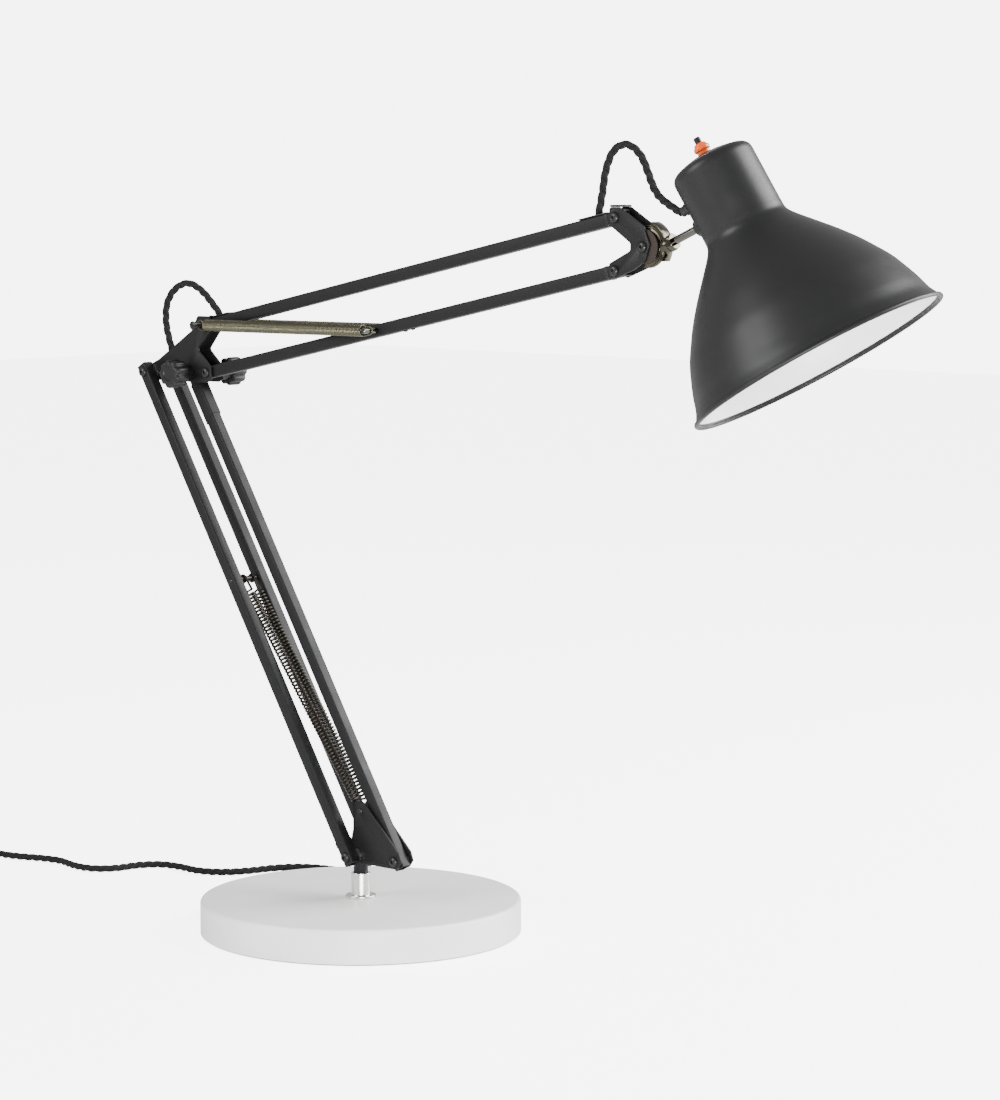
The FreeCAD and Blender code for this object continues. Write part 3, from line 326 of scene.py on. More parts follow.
def six_flats(t):
    """How far a hexagon's side lies inside its corners' circle, as a share of that circle."""
    return 1 - math.cos(math.pi / 6) / np.cos(t % (math.pi / 3) - math.pi / 6)


def flat_middle(node):
    """The middle of a node in the plane of the arm, where its pivot runs across."""
    low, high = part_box(node)
    return np.array(((low.x + high.x) / 2, 0, (low.z + high.z) / 2))


def button_screw(name, centre, near_face, far_face, body, nodes, nut=True, slot="zinc"):
    """A screw across the arm: domed head with its socket on one side, hex nut on the other."""
    out = 1 if far_face > near_face else -1
    depth = abs(far_face - near_face)
    rows = [(0, 1.1, 0), (1.25, 1.1, 1), (1.3, 0, 1), (1.5, -0.1, 0), (2.3, 0.1, 0), (3.1, 0.55, 0),
            (3.5, 1.05, 0), (3.7, 1.6, 0), (3.7, 2.1, 0), (2.5, 2.1, 0)]
    rows = [(r * MM, h * MM - SCREW_HEAD, six) for r, h, six in rows]
    if nut:
        ends = [(2.5, 0, 0), (3.5, 0, 0), (4.0, 0.4, 1), (4.0, 1.8, 1), (3.5, 2.1, 0), (2.3, 2.1, 0),
                (2.3, 2.6, 0), (2.0, 2.9, 0), (0, 2.9, 0)]
    else:
        ends = [(2.5, 0, 0), (0, 0, 0)]
    rows += [(r * MM, depth + h * MM, six) for r, h, six in ends]
    outline = [row[:2] for row in rows]
    points, faces = turned(
        outline, centre + ACROSS * near_face, ACROSS * out, 48, six_flats, [row[2] for row in rows])
    return solid(name, points, faces, blackened_steel, body, nodes, slot, 28.0)


PLATE_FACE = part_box("foot_plate_far")[1].y
REAR_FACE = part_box("rear_bar_far")[1].y + 0.1 * MM
foot_front = flat_middle("foot_front_bolt")
foot_rear = flat_middle("foot_rear_bolt")
button_screw("foot_front_screw", foot_front, -PLATE_FACE, PLATE_FACE, "foot", ["foot_front_bolt"])
button_screw("foot_rear_screw", foot_rear, -REAR_FACE, REAR_FACE, "foot", ["foot_rear_bolt"])


def rivet(name, node, body, radius, finish, slot, groove=0.0):
    """A pin across the arm with domed ends, and a groove near each end where a spring hooks."""
    centre = flat_middle(node)
    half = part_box(node)[1].y
    rows = [(0, half), (radius * 0.7, half - 0.1 * MM), (radius, half - 0.7 * MM)]
    if groove:
        rows += [(radius, half - 1.4 * MM), (groove, half - 1.7 * MM), (groove, half - 3.4 * MM),
                 (groove, half - 3.8 * MM)]
    outline = rows + [(r, -h) for r, h in reversed(rows)]
    points, faces = turned(outline, centre, ACROSS, 32)
    return solid(name, points, faces, finish, body, [node], slot)


rivet("foot_spring_rivet", "foot_spring_pin", "foot", 2 * MM, blackened_steel, "nickel")
rivet("rear_spring_rivet", "rear_spring_pin", "rear_struts", 2 * MM, blackened_steel, "nickel")


# ------------------------------------------------------------------------------- arm bars
# The arm's five bars are square steel tube with rounded corners, cut to length and coated black.
# Bushes of zinc-plated steel are pressed in at the pivots.
hinge = {joint["name"]: np.array(joint["pos_m"]) for joint in frame["joints"] if "pos_m" in joint}
BAR_HALF = (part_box("rear_bar_far")[1].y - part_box("rear_bar_far")[0].y) / 2
BAR_WALL = 1.0 * MM
BAR_END = 6 * MM
BAR_CORNER = 1.3 * MM
NOSE_END = 4.8 * MM


def rounded_square(half, corner, steps=5):
    """A square's outline, half wide each way, whose corners are quarter circles."""
    t = np.linspace(0, math.pi / 2, steps)
    ring = []
    for quarter, signs in enumerate(((1, 1), (-1, 1), (-1, -1), (1, -1))):
        turn = quarter * math.pi / 2
        centre = np.array(signs) * (half - corner)
        ring.append(centre + corner * np.stack((np.cos(t + turn), np.sin(t + turn)), 1))
    return np.concatenate(ring)


def square_tube(name, start, end, shift, stations, finish, body, nodes, slot="black_paint", half=BAR_HALF):
    """A rounded square carried from start to end: each station (inset, distance) is the square
    made smaller by its inset, that far along, and the last station closes each end."""
    along = unit(end - start)
    over = np.cross(ACROSS, along) * -1
    rings = []
    for inset, distance in stations:
        ring = rounded_square(half - inset, max(BAR_CORNER - inset, 0.25 * MM))
        rings.append(start + ACROSS * shift + along * distance
                     + ring[:, :1] * ACROSS + ring[:, 1:] * over)
    count = len(rings[0])
    faces = quads(len(rings), count, False).tolist()
    last = (len(rings) - 1) * count
    faces += [list(range(count)), list(range(last, last + count))]
    return solid(name, np.concatenate(rings), faces, finish, body, nodes, slot, 30.0)


def tube_stations(length):
    """The tube's mouth, its wall's edge and its outside, from one end to the other."""
    mouth = [(BAR_WALL, 4 * MM), (BAR_WALL, 0.25 * MM), (BAR_WALL * 0.75, 0), (0.25 * MM, 0), (0, 0.3 * MM)]
    return mouth + [(inset, length - distance) for inset, distance in reversed(mouth)]


def bar(name, node, start, end, shift, body, nose=BAR_END):
    """One bar between two pivots, which runs on past each by its end."""
    along = unit(end - start)
    length = float(np.linalg.norm(end - start)) + BAR_END + nose
    return square_tube(name, start - along * BAR_END, end + along * nose, shift, tube_stations(length),
                       black_coat, body, [node])


elbow_front = hinge["elbow_level"]
elbow_rear = elbow_front + foot_rear - foot_front
arm_low = hinge["lower_link_pivot"]
arm_high = hinge["upper_arm"]
head_high = hinge["head_level"]
head_low = head_high + arm_low - arm_high
REAR_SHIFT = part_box("rear_bar_far")[1].y - BAR_HALF
bar("front_tube", "front_bar", foot_front, elbow_front, 0, "front_strut")
for side, sign in (("near", -1), ("far", 1)):
    bar("rear_tube_" + side, "rear_bar_" + side, foot_rear, elbow_rear, sign * REAR_SHIFT, "rear_struts")
bar("lower_tube", "lower_bar", arm_low, head_low, 0, "lower_link")
bar("upper_tube", "upper_bar", arm_high, head_high, 0, "upper_link", NOSE_END)
finished(zinc_plate, "zinc", "front_bar_bushes", "rear_bar_bushes", "lower_bar_bushes", "upper_bar_bushes")


# ------------------------------------------------------------------------------- bar sleeves
# The front bar has a folded steel sleeve under the elbow, cut to a point at its lower corner.
# Short pressed collars close the other bars' ends.
SLEEVE_WALL = 0.5 * MM
SLEEVE_TOP, SLEEVE_FOOT = 8.5 * MM, 38.5 * MM
SLEEVE_POINT = 2.6 * MM
COLLAR_WALL = 0.3 * MM


def collar(name, pivot, along, shift, near, far, grow, finish, body, slot, nodes=()):
    """A short square sleeve on a bar, from near to far along it from a pivot."""
    start, end = pivot + along * near, pivot + along * far
    length = far - near
    stations = [(grow, 0), (0.25 * MM, 0), (0, 0.25 * MM), (0, length - 0.25 * MM), (0.25 * MM, length),
                (grow, length)]
    return square_tube(name, start, end, shift, stations, finish, body, nodes, slot, BAR_HALF + grow)


lower_way = unit(elbow_front - foot_front)
upper_way = unit(head_high - arm_high)
sleeve = collar("front_sleeve", elbow_front, -lower_way, 0, SLEEVE_TOP, SLEEVE_FOOT, SLEEVE_WALL,
                black_coat, "front_strut", "black_paint", ["front_bar_sleeve"])
corners = np.empty(len(sleeve.data.vertices) * 3)
sleeve.data.vertices.foreach_get("co", corners)
corners = corners.reshape(-1, 3)
rearward = unit(np.cross(ACROSS, lower_way)) * -1
behind = (corners - elbow_front) @ rearward / (BAR_HALF + SLEEVE_WALL)
lower_end = -((corners - elbow_front) @ lower_way) > 0.6 * SLEEVE_FOOT
corners += np.outer(np.where(lower_end, -behind * SLEEVE_POINT, 0), lower_way)
sleeve.data.vertices.foreach_set("co", corners.ravel())
for side, sign in (("near", -1), ("far", 1)):
    collar("rear_foot_collar_" + side, foot_rear, lower_way, sign * REAR_SHIFT, 9 * MM, 13 * MM,
           COLLAR_WALL, black_coat, "rear_struts", "black_paint")
for name, pivot, body in (("lower", head_low, "lower_link"), ("upper", head_high, "upper_link")):
    collar(name + "_head_collar", pivot, -upper_way, 0, 7.5 * MM, 10.5 * MM, COLLAR_WALL, blackened_steel,
           body, "black_steel")
underside = np.cross(ACROSS, upper_way)
for number, distance in enumerate((199.3, 206.5), start=1):
    foot = arm_low + upper_way * distance * MM + underside * (BAR_HALF - 0.2 * MM)
    stud = in_metres([(0, 0), (1.6, 0), (1.6, 0.5), (1.1, 1.1), (0, 1.3)])
    solid("lower_tube_stud_%d" % number, *turned(stud, foot, underside, 20), blackened_steel,
          "lower_link", (), "black_steel")

# ------------------------------------------------------------------------------- elbow
# Two more sheet plates join the lower and the upper arm. A block between them carries the cord,
# and a long grooved pin through the top pivot holds the upper springs.
for node in ("elbow_plate_near", "elbow_plate_far"):
    eased(node, black_coat, PLATE_EASE, "elbow")
black_plastic = coated("black moulded plastic", (0.007, 0.007, 0.007), 0.4, 800.0, 0.02, 0.05, shine=0.3)
eased("elbow_spacer", black_plastic, 0.5 * MM, "elbow")
button_screw("elbow_rear_screw", elbow_rear, -REAR_FACE, REAR_FACE, "elbow", ["elbow_rear_bolt"])
knob_face = PLATE_FACE + 14 * MM
button_screw("elbow_lower_screw", elbow_front, PLATE_FACE, -knob_face, "elbow", ["elbow_lower_bolt"], False)
button_screw("elbow_upper_screw", arm_low, -PLATE_FACE, knob_face, "elbow", ["elbow_upper_bolt"], False)
dark_nickel = coated("dark nickel plate", (0.11, 0.104, 0.096), 0.12, 1500.0, 0.006, 0.06, 1.0)
rivet("upper_spring_rod", "upper_spring_pin", "elbow", 3.2 * MM, blackened_steel, "black_steel", 2.5 * MM)
rivet("lower_bar_rod", "lower_bar_pin", "lower_link", 2 * MM, dark_nickel, "black_steel")

# ------------------------------------------------------------------------------- tension knobs
# A moulded knob on each clamping pivot, with finger scallops round its rim and a domed face with a
# shallow recess in its middle. Turning it squeezes the plates and sets the arm's stiffness.
LOBES = 9


def scallops(t):
    """Hollows between the lobes: a smooth dip that is deepest midway between two of them."""
    return (0.5 - 0.5 * np.cos(LOBES * t)) ** 1.6


def scalloped_knob(name, node, pivot, seat, out, body):
    """A knob on its pivot, from its seat outward. Rows are (r, h, share of the scallops' depth)."""
    rows = [(2.55, 0.1, 0), (5.8, 0.1, 0), (6.0, 0.4, 0), (6.0, 7.5, 0), (8.6, 7.6, 0.5), (10.0, 8.0, 1),
            (10.5, 8.9, 1), (10.5, 17.6, 1), (10.1, 18.9, 1), (9.2, 19.7, 0.8), (8.0, 20.0, 0.3),
            (5.2, 20.0, 0), (4.6, 19.3, 0), (3.2, 19.2, 0), (0, 19.2, 0)]
    outline = [(0, 0.1 * MM)] + [(r * MM, h * MM) for r, h, _ in rows]
    share = [0] + [row[2] * 0.15 for row in rows]
    points, faces = turned(outline, pivot + ACROSS * seat, ACROSS * out, 144, scallops, share)
    return solid(name, points, faces, black_plastic, body, [node], "black_plastic", 40.0)


scalloped_knob("lower_knob_moulding", "lower_arm_knob", elbow_front, -PLATE_FACE, -1, "lower_knob")
scalloped_knob("upper_knob_moulding", "upper_arm_knob", arm_low, PLATE_FACE, 1, "upper_knob")


# ------------------------------------------------------------------------------- springs
# Two pairs of extension springs balance the arm. The lower pair is stretched open, of oiled
# steel wire, and the upper pair is wound close, of bronzed wire. Each end is an eye on a pin.
oiled_wire = coated("oiled spring wire", (0.035, 0.03, 0.024), 0.28, 1500.0, 0.01, 0.08, 0.85)
bronzed_wire = coated("bronzed spring wire", (0.105, 0.098, 0.066), 0.3, 1500.0, 0.01, 0.08, 0.9)
SPRING_CUTS = (0, 0.1, 0.3, 0.56, 1)


def across_line(line, square):
    """Side and top at each point of a line: side is the line's direction crossed with the
    direction called square, and top stands across both."""
    way = np.gradient(line, axis=0)
    way /= np.linalg.norm(way, axis=1)[:, None]
    side = np.cross(way, square)
    side /= np.linalg.norm(side, axis=1)[:, None]
    return side, np.cross(side, way)


def round_wire(line, square, radius, sides=8):
    """Points and faces of a wire: a ring, point + radius (cos t side + sin t top), round each point
    of its line."""
    side, top = across_line(line, square)
    t = np.linspace(0, 2 * np.pi, sides, endpoint=False)[None, :, None]
    points = line[:, None] + radius * (np.cos(t) * side[:, None] + np.sin(t) * top[:, None])
    faces = quads(len(line), sides, False).tolist()
    last = (len(line) - 1) * sides
    return points.reshape(-1, 3), faces + [list(range(sides))[::-1], list(range(last, last + sides))]


def together(*shells):
    """Several shells of points and faces as one."""
    points, faces, count = [], [], 0
    for shell_points, shell_faces in shells:
        points.append(shell_points)
        faces += [[corner + count for corner in face] for face in shell_faces]
        count += len(shell_points)
    return np.concatenate(points), faces


def spring(name, fixed, moved, shift, radius, wire, gaps, turns, eyes, finish, slot, nodes):
    """A spring from its fixed pin to the moved one: a helix between two eyes, cut into lengths
    at the shares listed in SPRING_CUTS."""
    lift = ACROSS * shift
    reach = unit(moved - fixed)
    length = float(np.linalg.norm(moved - fixed))
    side = unit(np.cross(ACROSS, reach))
    first, last = gaps[0], length - gaps[1]
    middle = radius - wire
    for number, (low, high) in enumerate(zip(SPRING_CUTS, SPRING_CUTS[1:]), start=1):
        start, stop = max(low * length, first), min(high * length, last)
        share = (np.array((start, stop)) - first) / (last - first) * turns
        angle = np.linspace(share[0], share[1], int((share[1] - share[0]) * 16) + 2) * 2 * np.pi
        distance = first + angle / (2 * np.pi * turns) * (last - first)
        helix = (fixed + lift + distance[:, None] * reach
                 + middle * (np.cos(angle)[:, None] * side + np.sin(angle)[:, None] * ACROSS))
        shells = [round_wire(helix, reach, wire)]
        for pin, mouth, back, eye, here in (
                (fixed, first, -reach, eyes[0], low == 0), (moved, last, reach, eyes[1], high == 1)):
            if not here:
                continue
            ring = np.linspace(0, 1.75 * np.pi, 26)[:, None]
            eye_line = pin + lift + eye * (np.cos(ring) * side + np.sin(ring) * back)
            stem = fixed + lift + reach * mouth + side * middle
            steps = np.linspace(0, 1, 8)[:-1, None]
            hook = np.concatenate((stem * (1 - steps) + eye_line[0] * steps, eye_line))
            shells.append(round_wire(hook, ACROSS, wire))
        piece = solid("%s_%d" % (name, number), *together(*shells), finish, None, nodes, slot, 60.0)
        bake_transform(piece)


foot_pin = flat_middle("foot_spring_pin")
rear_pin = flat_middle("rear_spring_pin")
lower_bar_pin = flat_middle("lower_bar_pin")
LOWER_RADIUS, UPPER_RADIUS = 4.0 * MM, 4.4 * MM
LOWER_WIRE, UPPER_WIRE = 0.9 * MM, 0.58 * MM
LOWER_TURNS, UPPER_TURNS = 64, 122
SMALL_EYE, LARGE_EYE = 2.7 * MM, 3.2 * MM
lower_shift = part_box("lower_springs")[1].y - LOWER_RADIUS
upper_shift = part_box("upper_springs")[1].y - UPPER_RADIUS
for side, sign in (("near", -1), ("far", 1)):
    spring("lower_spring_" + side, foot_pin, rear_pin, sign * lower_shift, LOWER_RADIUS,
           LOWER_WIRE, (9 * MM, 11 * MM), LOWER_TURNS, (SMALL_EYE, SMALL_EYE), oiled_wire,
           "spring_steel", ["lower_springs"])
    spring("upper_spring_" + side, arm_high, lower_bar_pin, sign * upper_shift, UPPER_RADIUS,
           UPPER_WIRE, (5.5 * MM, 6 * MM), UPPER_TURNS, (LARGE_EYE, SMALL_EYE), bronzed_wire,
           "spring_bronze", ["upper_springs"])

# ------------------------------------------------------------------------------- head bracket
# The plates at the arm's head keep the lamp level as the arm moves. A bridge joins them, and the
# knuckle is clamped between them. Plastic clips on the upper bar hold the cord.
for node in ("head_plate_near", "head_plate_far", "head_bridge"):
    eased(node, black_coat, PLATE_EASE, "head_bracket")
eased("upper_bar_clips", black_plastic, 0.3 * MM, "upper_link")
tilt = hinge["head_tilt"]
button_screw("head_upper_screw", head_high, -PLATE_FACE, PLATE_FACE, "head_bracket", ["head_bolts"])
button_screw("head_lower_screw", head_low, -PLATE_FACE, PLATE_FACE, "head_bracket", ["head_bolts"])
button_screw("tilt_screw", tilt, -PLATE_FACE, PLATE_FACE, "head_bracket", ["tilt_bolt"])

# ------------------------------------------------------------------------------- knuckle
# A stepped disc of antique brass, clamped between dark fibre washers, tilts the lamp. A socket
# on it grips the plated rod, which is locked at the shade's end of the socket by a nut.
antique_brass = coated("antique brass", (0.075, 0.068, 0.05), 0.17, 1300.0, 0.012, 0.09, 1.0)
fibre = coated("dark brown fibre", (0.02, 0.012, 0.009), 0.6, 600.0, 0.05, shine=0.3)
disc_low, disc_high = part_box("swivel_disc")
half_disc = (disc_high.y - disc_low.y) / 2 / MM
rings = [(2.6, -half_disc), (11.0, -half_disc, 0.3), (11.4, -half_disc + 1.5, 0.2),
         (12.8, -half_disc + 1.6, 0.2), (12.8, -1.3, 0.2), (14.0, -1.2, 0.3), (14.0, 1.2, 0.3),
         (12.8, 1.3, 0.2), (12.8, half_disc - 1.6, 0.2), (11.4, half_disc - 1.5, 0.2),
         (11.0, half_disc, 0.3), (2.6, half_disc)]
solid("knuckle_disc", *turned(softened(in_metres(rings)), tilt, ACROSS, 96), antique_brass, "knuckle",
      ["swivel_disc"], "antique_brass")
finished(fibre, "fibre", "friction_washers")
eased("rod_socket", antique_brass, 0.4 * MM, "knuckle")
rod_axis = unit([joint for joint in frame["joints"] if joint["name"] == "shade_swivel"][0]["axis"])
mount = hinge["shade_swivel"]
ROD_REACH = 59 * MM
rod_start = mount - rod_axis * ROD_REACH
rod_outline = softened(in_metres([(0, -3.4), (2.7, -3.4), (2.7, 28.4, 0.6), (0, 28.4)]))
solid("swivel_rod", *turned(rod_outline, rod_start, rod_axis, 48), dark_nickel, "knuckle", ["rod"],
      "antique_brass")
nut_rows = [(2.7, 0, 0), (5.2, 0, 0), (5.85, 0.5, 1), (5.85, 4.0, 1), (5.2, 4.5, 0), (2.7, 4.5, 0)]
solid("swivel_rod_nut", *turned([(r * MM, h * MM) for r, h, _ in nut_rows], rod_start, rod_axis, 48,
                                six_flats, [row[2] for row in nut_rows]),
      antique_brass, "knuckle", ["rod_nut"], "antique_brass", 28.0)

# ------------------------------------------------------------------------------- shade
# A bell spun from steel sheet, with a rolled rim, a straight neck and a slightly domed crown.
# It is coated matt black outside and white inside. A boss on the neck turns on the rod's end.
shade_axis = -unit([joint for joint in frame["joints"] if joint["name"] == "switch_press"][0]["axis"])
MOUNT_RISE = 113.8 * MM
shade_foot = mount - shade_axis * MOUNT_RISE
SHADE_WALL = 1.2 * MM
BEAD = 1.5 * MM
shade_white = coated("white enamel", (0.92, 0.92, 0.915), 0.35, 500.0, 0.01, 0.03)
shade_black = coated("matt black enamel", (0.0075, 0.0075, 0.008), 0.4, 900.0, 0.012, 0.03, shine=0.3)


def through(points, steps=14):
    """A smooth line through points, cubic between each two, that leaves a point parallel to the
    chord of its neighbours."""
    points = np.asarray(points, float)
    slopes = np.gradient(points, axis=0)
    t = np.linspace(0, 1, steps, endpoint=False)[:, None]
    rows = []
    for here, there, out, into in zip(points, points[1:], slopes, slopes[1:]):
        rows.append((2 * t ** 3 - 3 * t ** 2 + 1) * here + (t ** 3 - 2 * t ** 2 + t) * out
                    + (3 * t ** 2 - 2 * t ** 3) * there + (t ** 3 - t ** 2) * into)
    return np.concatenate(rows + [points[-1:]])


bell = through([
    (87.9, 2.4), (84.2, 9.5), (81.2, 19.2), (77.4, 29.2), (73.2, 38.7), (67.8, 47.7), (60.2, 59.2),
    (51.0, 71.0), (41.4, 82.2), (32.6, 92.4), (28.6, 98.6), (28.0, 105.0)])
crown = softened([(28.0, 110), (28.0, 148.5, 5.2), (15.0, 152.9, 9.0), (0, 154.9)], 9)
outside = np.concatenate((bell, crown)) * MM
slope = np.gradient(outside, axis=0)
slope /= np.linalg.norm(slope, axis=1)[:, None]
inward = np.stack((-slope[:, 1], slope[:, 0]), 1)
inside = outside + SHADE_WALL * inward
inside[-1, 0] = 0
inside = inside[inside[:, 0] >= -1e-9]
curl = np.linspace(math.radians(130), math.radians(-215), 20)
rim_centre = np.array((87.95, 1.5)) * MM
rim = rim_centre + BEAD * np.stack((np.cos(curl), np.sin(curl)), 1)
outline = np.concatenate((inside[::-1], rim[::-1], outside[1:]))
shade = solid("shade_bell", *turned(outline, shade_foot, shade_axis, 192), shade_black, "head", ["shade"],
              "shade_enamel", 50.0)
shade.data.materials.append(shade_white)
centres = np.empty(len(shade.data.polygons) * 3)
normals = np.empty(len(shade.data.polygons) * 3)
shade.data.polygons.foreach_get("center", centres)
shade.data.polygons.foreach_get("normal", normals)
offset = centres.reshape(-1, 3) - shade_foot
height = offset @ shade_axis
radial = offset - height[:, None] * shade_axis
facing = np.sum(normals.reshape(-1, 3) * (radial + shade_axis * 8 * MM), 1)
is_inside = (facing < 0) & (height > 3.2 * MM)
shade.data.polygons.foreach_set("material_index", is_inside.astype(np.int32))
eased("shade_boss", shade_black, 0.3 * MM, "head")

# ------------------------------------------------------------------------------- lampholder
# A black moulded lampholder hangs from the crown, and a frosted bulb with a nickel-plated screw
# cap is turned into it.
frosted = bpy.data.materials.new("frosted bulb glass")
frosted.use_nodes = True
frost = frosted.node_tree.nodes["Principled BSDF"]
frost.inputs["Base Color"].default_value = (0.95, 0.94, 0.9, 1)
frost.inputs["Roughness"].default_value = 0.35
frost.inputs["Transmission Weight"].default_value = 0.35
holder = softened(in_metres([
    (0, 142), (13.8, 142), (13.8, 115), (17, 115, 0.6), (20, 115, 1.2), (20, 120.5, 0.4),
    (19.2, 121.1, 0.4), (19.2, 139, 2), (13, 149, 1), (0, 149)]))
solid("lampholder_moulding", *turned(holder, shade_foot, shade_axis, 96), black_plastic, "head",
      ["lampholder"], "black_plastic")
THREAD_RIDGES = 6
thread = np.linspace(0, 1, 61)
cap_side = np.stack((12.7 + 0.3 * np.cos(thread * 2 * np.pi * THREAD_RIDGES), 116 + thread * 19), 1)
solid("bulb_screw_cap", *turned(np.concatenate((
    [(0, 115), (12.6, 115)], cap_side, [(9, 138.5), (4, 139.9), (0, 140)])) * MM, shade_foot, shade_axis, 72),
    nickel_plate, "head", ["bulb_cap"], "nickel")
ball = np.linspace(-math.pi / 2, math.radians(20), 24)
globe = np.stack((27.5 * np.cos(ball), 62.5 + 27.5 * np.sin(ball)), 1)
waist = through([globe[-1], (22.4, 83), (16, 97), (12.9, 109), (12.6, 114.9)])
glass = np.concatenate((globe, waist[1:], [(0, 114.9)]))
solid("bulb_envelope", *turned(glass * MM, shade_foot, shade_axis, 96), frosted, "head", ["bulb_glass"],
      "opal_glass")

# ------------------------------------------------------------------------------- switch
# A glossy orange collar is screwed into the crown, and a black push button stands in it.
orange_gloss = coated("glossy orange plastic", (0.88, 0.1, 0.0), 0.25, 300.0, 0.004, 0.03, 0.0, 0.3)
button_low, button_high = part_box("switch_button")
CROWN_RISE = 155 * MM
button_middle = np.array((button_low + button_high) / 2)
switch_foot = button_middle + shade_axis * (CROWN_RISE - float((button_middle - shade_foot) @ shade_axis))
bezel = softened(in_metres([
    (2.35, -6), (3.75, -6), (3.75, -0.5), (4.3, -0.5, 0.3), (4.3, 1.6, 0.4), (5.5, 2.2, 0.5),
    (5.5, 4.4, 0.6), (4.5, 5.2, 0.6), (3.6, 7.2, 0.9), (2.35, 7.2)]))
solid("switch_bezel", *turned(bezel, switch_foot, shade_axis, 64), orange_gloss, "head", ["switch_collar"],
      "orange_plastic")
push_outline = softened(in_metres([(0, 2.7), (2.3, 2.7), (2.3, 11.5, 0.9), (0, 11.5)]))
solid("push_cap", *turned(push_outline, switch_foot, shade_axis, 40), black_plastic, "push_button",
      ["switch_button"], "black_plastic")

# ------------------------------------------------------------------------------- cord gland
# Moulded rubber holds the cord where it goes in: a grommet on the shade's neck, and a ribbed
# tapering sleeve at the back of the base.
black_rubber = coated("black rubber", (0.008, 0.008, 0.008), 0.6, 700.0, 0.04, shine=0.3)
gland_low, gland_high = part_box("shade_gland")
gland_middle = np.array((gland_low + gland_high) / 2)
gland_rise = float((gland_middle - shade_foot) @ shade_axis)
gland_out = unit(gland_middle - shade_foot - shade_axis * gland_rise)
NECK_SEAT = 27.65 * MM
gland_foot = shade_foot + shade_axis * gland_rise + gland_out * NECK_SEAT
grommet = softened(in_metres([
    (0, 0), (4.0, 0, 0.2), (4.0, 1.6, 0.5), (3.4, 2.0, 0.3), (3.4, 5, 1.0), (0, 5)]))
solid("neck_grommet", *turned(grommet, gland_foot, gland_out, 48), black_rubber, "head", ["shade_gland"],
      "black_rubber")
OUTLET_TURN = math.radians(132)
OUTLET_RISE = 19.5 * MM
OUTLET_LENGTH = 22
outlet_way = unit(np.array((math.cos(OUTLET_TURN), math.sin(OUTLET_TURN), 0)))
outlet_foot = outlet_way * base_radius + UP * OUTLET_RISE
sleeve_rows = [(0, -2.5), (3.4, -2.5), (3.4, 0.1), (4.5, 0.1), (4.5, 3.0)]
for rib in range(5):
    ring, hollow, rise = 0.27 * rib, 0.22 * rib, 3.7 * rib
    sleeve_rows += [(4.25 - ring, 3.2 + rise), (3.7 - hollow, 3.5 + rise), (3.6 - hollow, 5.0 + rise),
                    (4.05 - ring, 5.3 + rise), (4.0 - ring, 6.7 + rise)]
sleeve_rows += [(2.9, OUTLET_LENGTH), (0, OUTLET_LENGTH)]
solid("outlet_sleeve", *turned(in_metres(sleeve_rows), outlet_foot, outlet_way, 48), black_rubber, "base",
      ["cord_outlet"], "black_rubber")


# ------------------------------------------------------------------------------- cords
# Three wires in black woven sleeving are twisted together into a round cord. It runs from a plug
# to the base, and shows again in a loop at the elbow and the head.
CORD = 5.6 * MM
STRAND = 1.6 * MM
STRANDS = 3
LAY = 22 * MM
# The sleeving's weave: Height is the bump of its crossings, and Tone is painted shade and light on the black
# thread, darker in the weave's hollows and lighter on its crossings, following that same height.
woven, woven_in, woven_out = new_group("woven sleeving", (("Picks", 24.0),), ("Height", "Tone"))
links = woven.links
uv = woven.nodes.new("ShaderNodeUVMap")
split = woven.nodes.new("ShaderNodeSeparateXYZ")
links.new(uv.outputs["UV"], split.inputs["Vector"])
crossings = []
for sense in ("ADD", "SUBTRACT"):
    slant = maths(woven, sense, split.outputs["X"], split.outputs["Y"])
    crossings.append(maths(woven, "SINE", maths(woven, "MULTIPLY", slant, woven_in.outputs["Picks"])))
weave = maths(woven, "MULTIPLY", *crossings)
links.new(weave, woven_out.inputs["Height"])
painted_weave_shade = woven.nodes.new("ShaderNodeMapRange")
painted_weave_shade.inputs["From Min"].default_value = -1.0
painted_weave_shade.inputs["To Min"].default_value = 0.6
painted_weave_shade.inputs["To Max"].default_value = 1.3
links.new(weave, painted_weave_shade.inputs["Value"])
links.new(painted_weave_shade.outputs["Result"], woven_out.inputs["Tone"])

black_sleeving = bpy.data.materials.new("black woven sleeving")
black_sleeving.use_nodes = True
nodes, links = black_sleeving.node_tree.nodes, black_sleeving.node_tree.links
cloth = nodes["Principled BSDF"]
cloth.inputs["Roughness"].default_value = 0.72
cloth.inputs["Specular IOR Level"].default_value = 0.25
cover = nodes.new("ShaderNodeGroup")
cover.node_tree = woven
# The weave's Tone scales the black colour: painted shade in the hollows of the weave, painted light on its
# crossings.
tint = nodes.new("ShaderNodeVectorMath")
tint.operation = "SCALE"
tint.inputs[0].default_value = (0.008, 0.008, 0.0085)
links.new(cover.outputs["Tone"], tint.inputs["Scale"])
links.new(tint.outputs["Vector"], cloth.inputs["Base Color"])
raised = nodes.new("ShaderNodeBump")
raised.inputs["Distance"].default_value = 0.1 * MM
links.new(cover.outputs["Height"], raised.inputs["Height"])
links.new(raised.outputs["Normal"], cloth.inputs["Normal"])


def smooth_line(route):
    """The route's own spline, quadratic, with the route's points as its controls, read as points."""
    data = bpy.data.curves.new("route", "CURVE")
    data.dimensions = "3D"
    data.resolution_u = 8
    spline = data.splines.new("NURBS")
    spline.points.add(len(route) - 1)
    for point, place in zip(spline.points, route):
        point.co = (*place, 1)
    spline.order_u = 3
    spline.use_endpoint_u = True
    curve = placed("route", data)
    bpy.context.view_layer.update()
    mesh = bpy.data.meshes.new_from_object(curve)
    line = np.empty(len(mesh.vertices) * 3)
    mesh.vertices.foreach_get("co", line)
    bpy.data.objects.remove(curve)
    bpy.data.curves.remove(data)
    bpy.data.meshes.remove(mesh)
    return line.reshape(-1, 3)


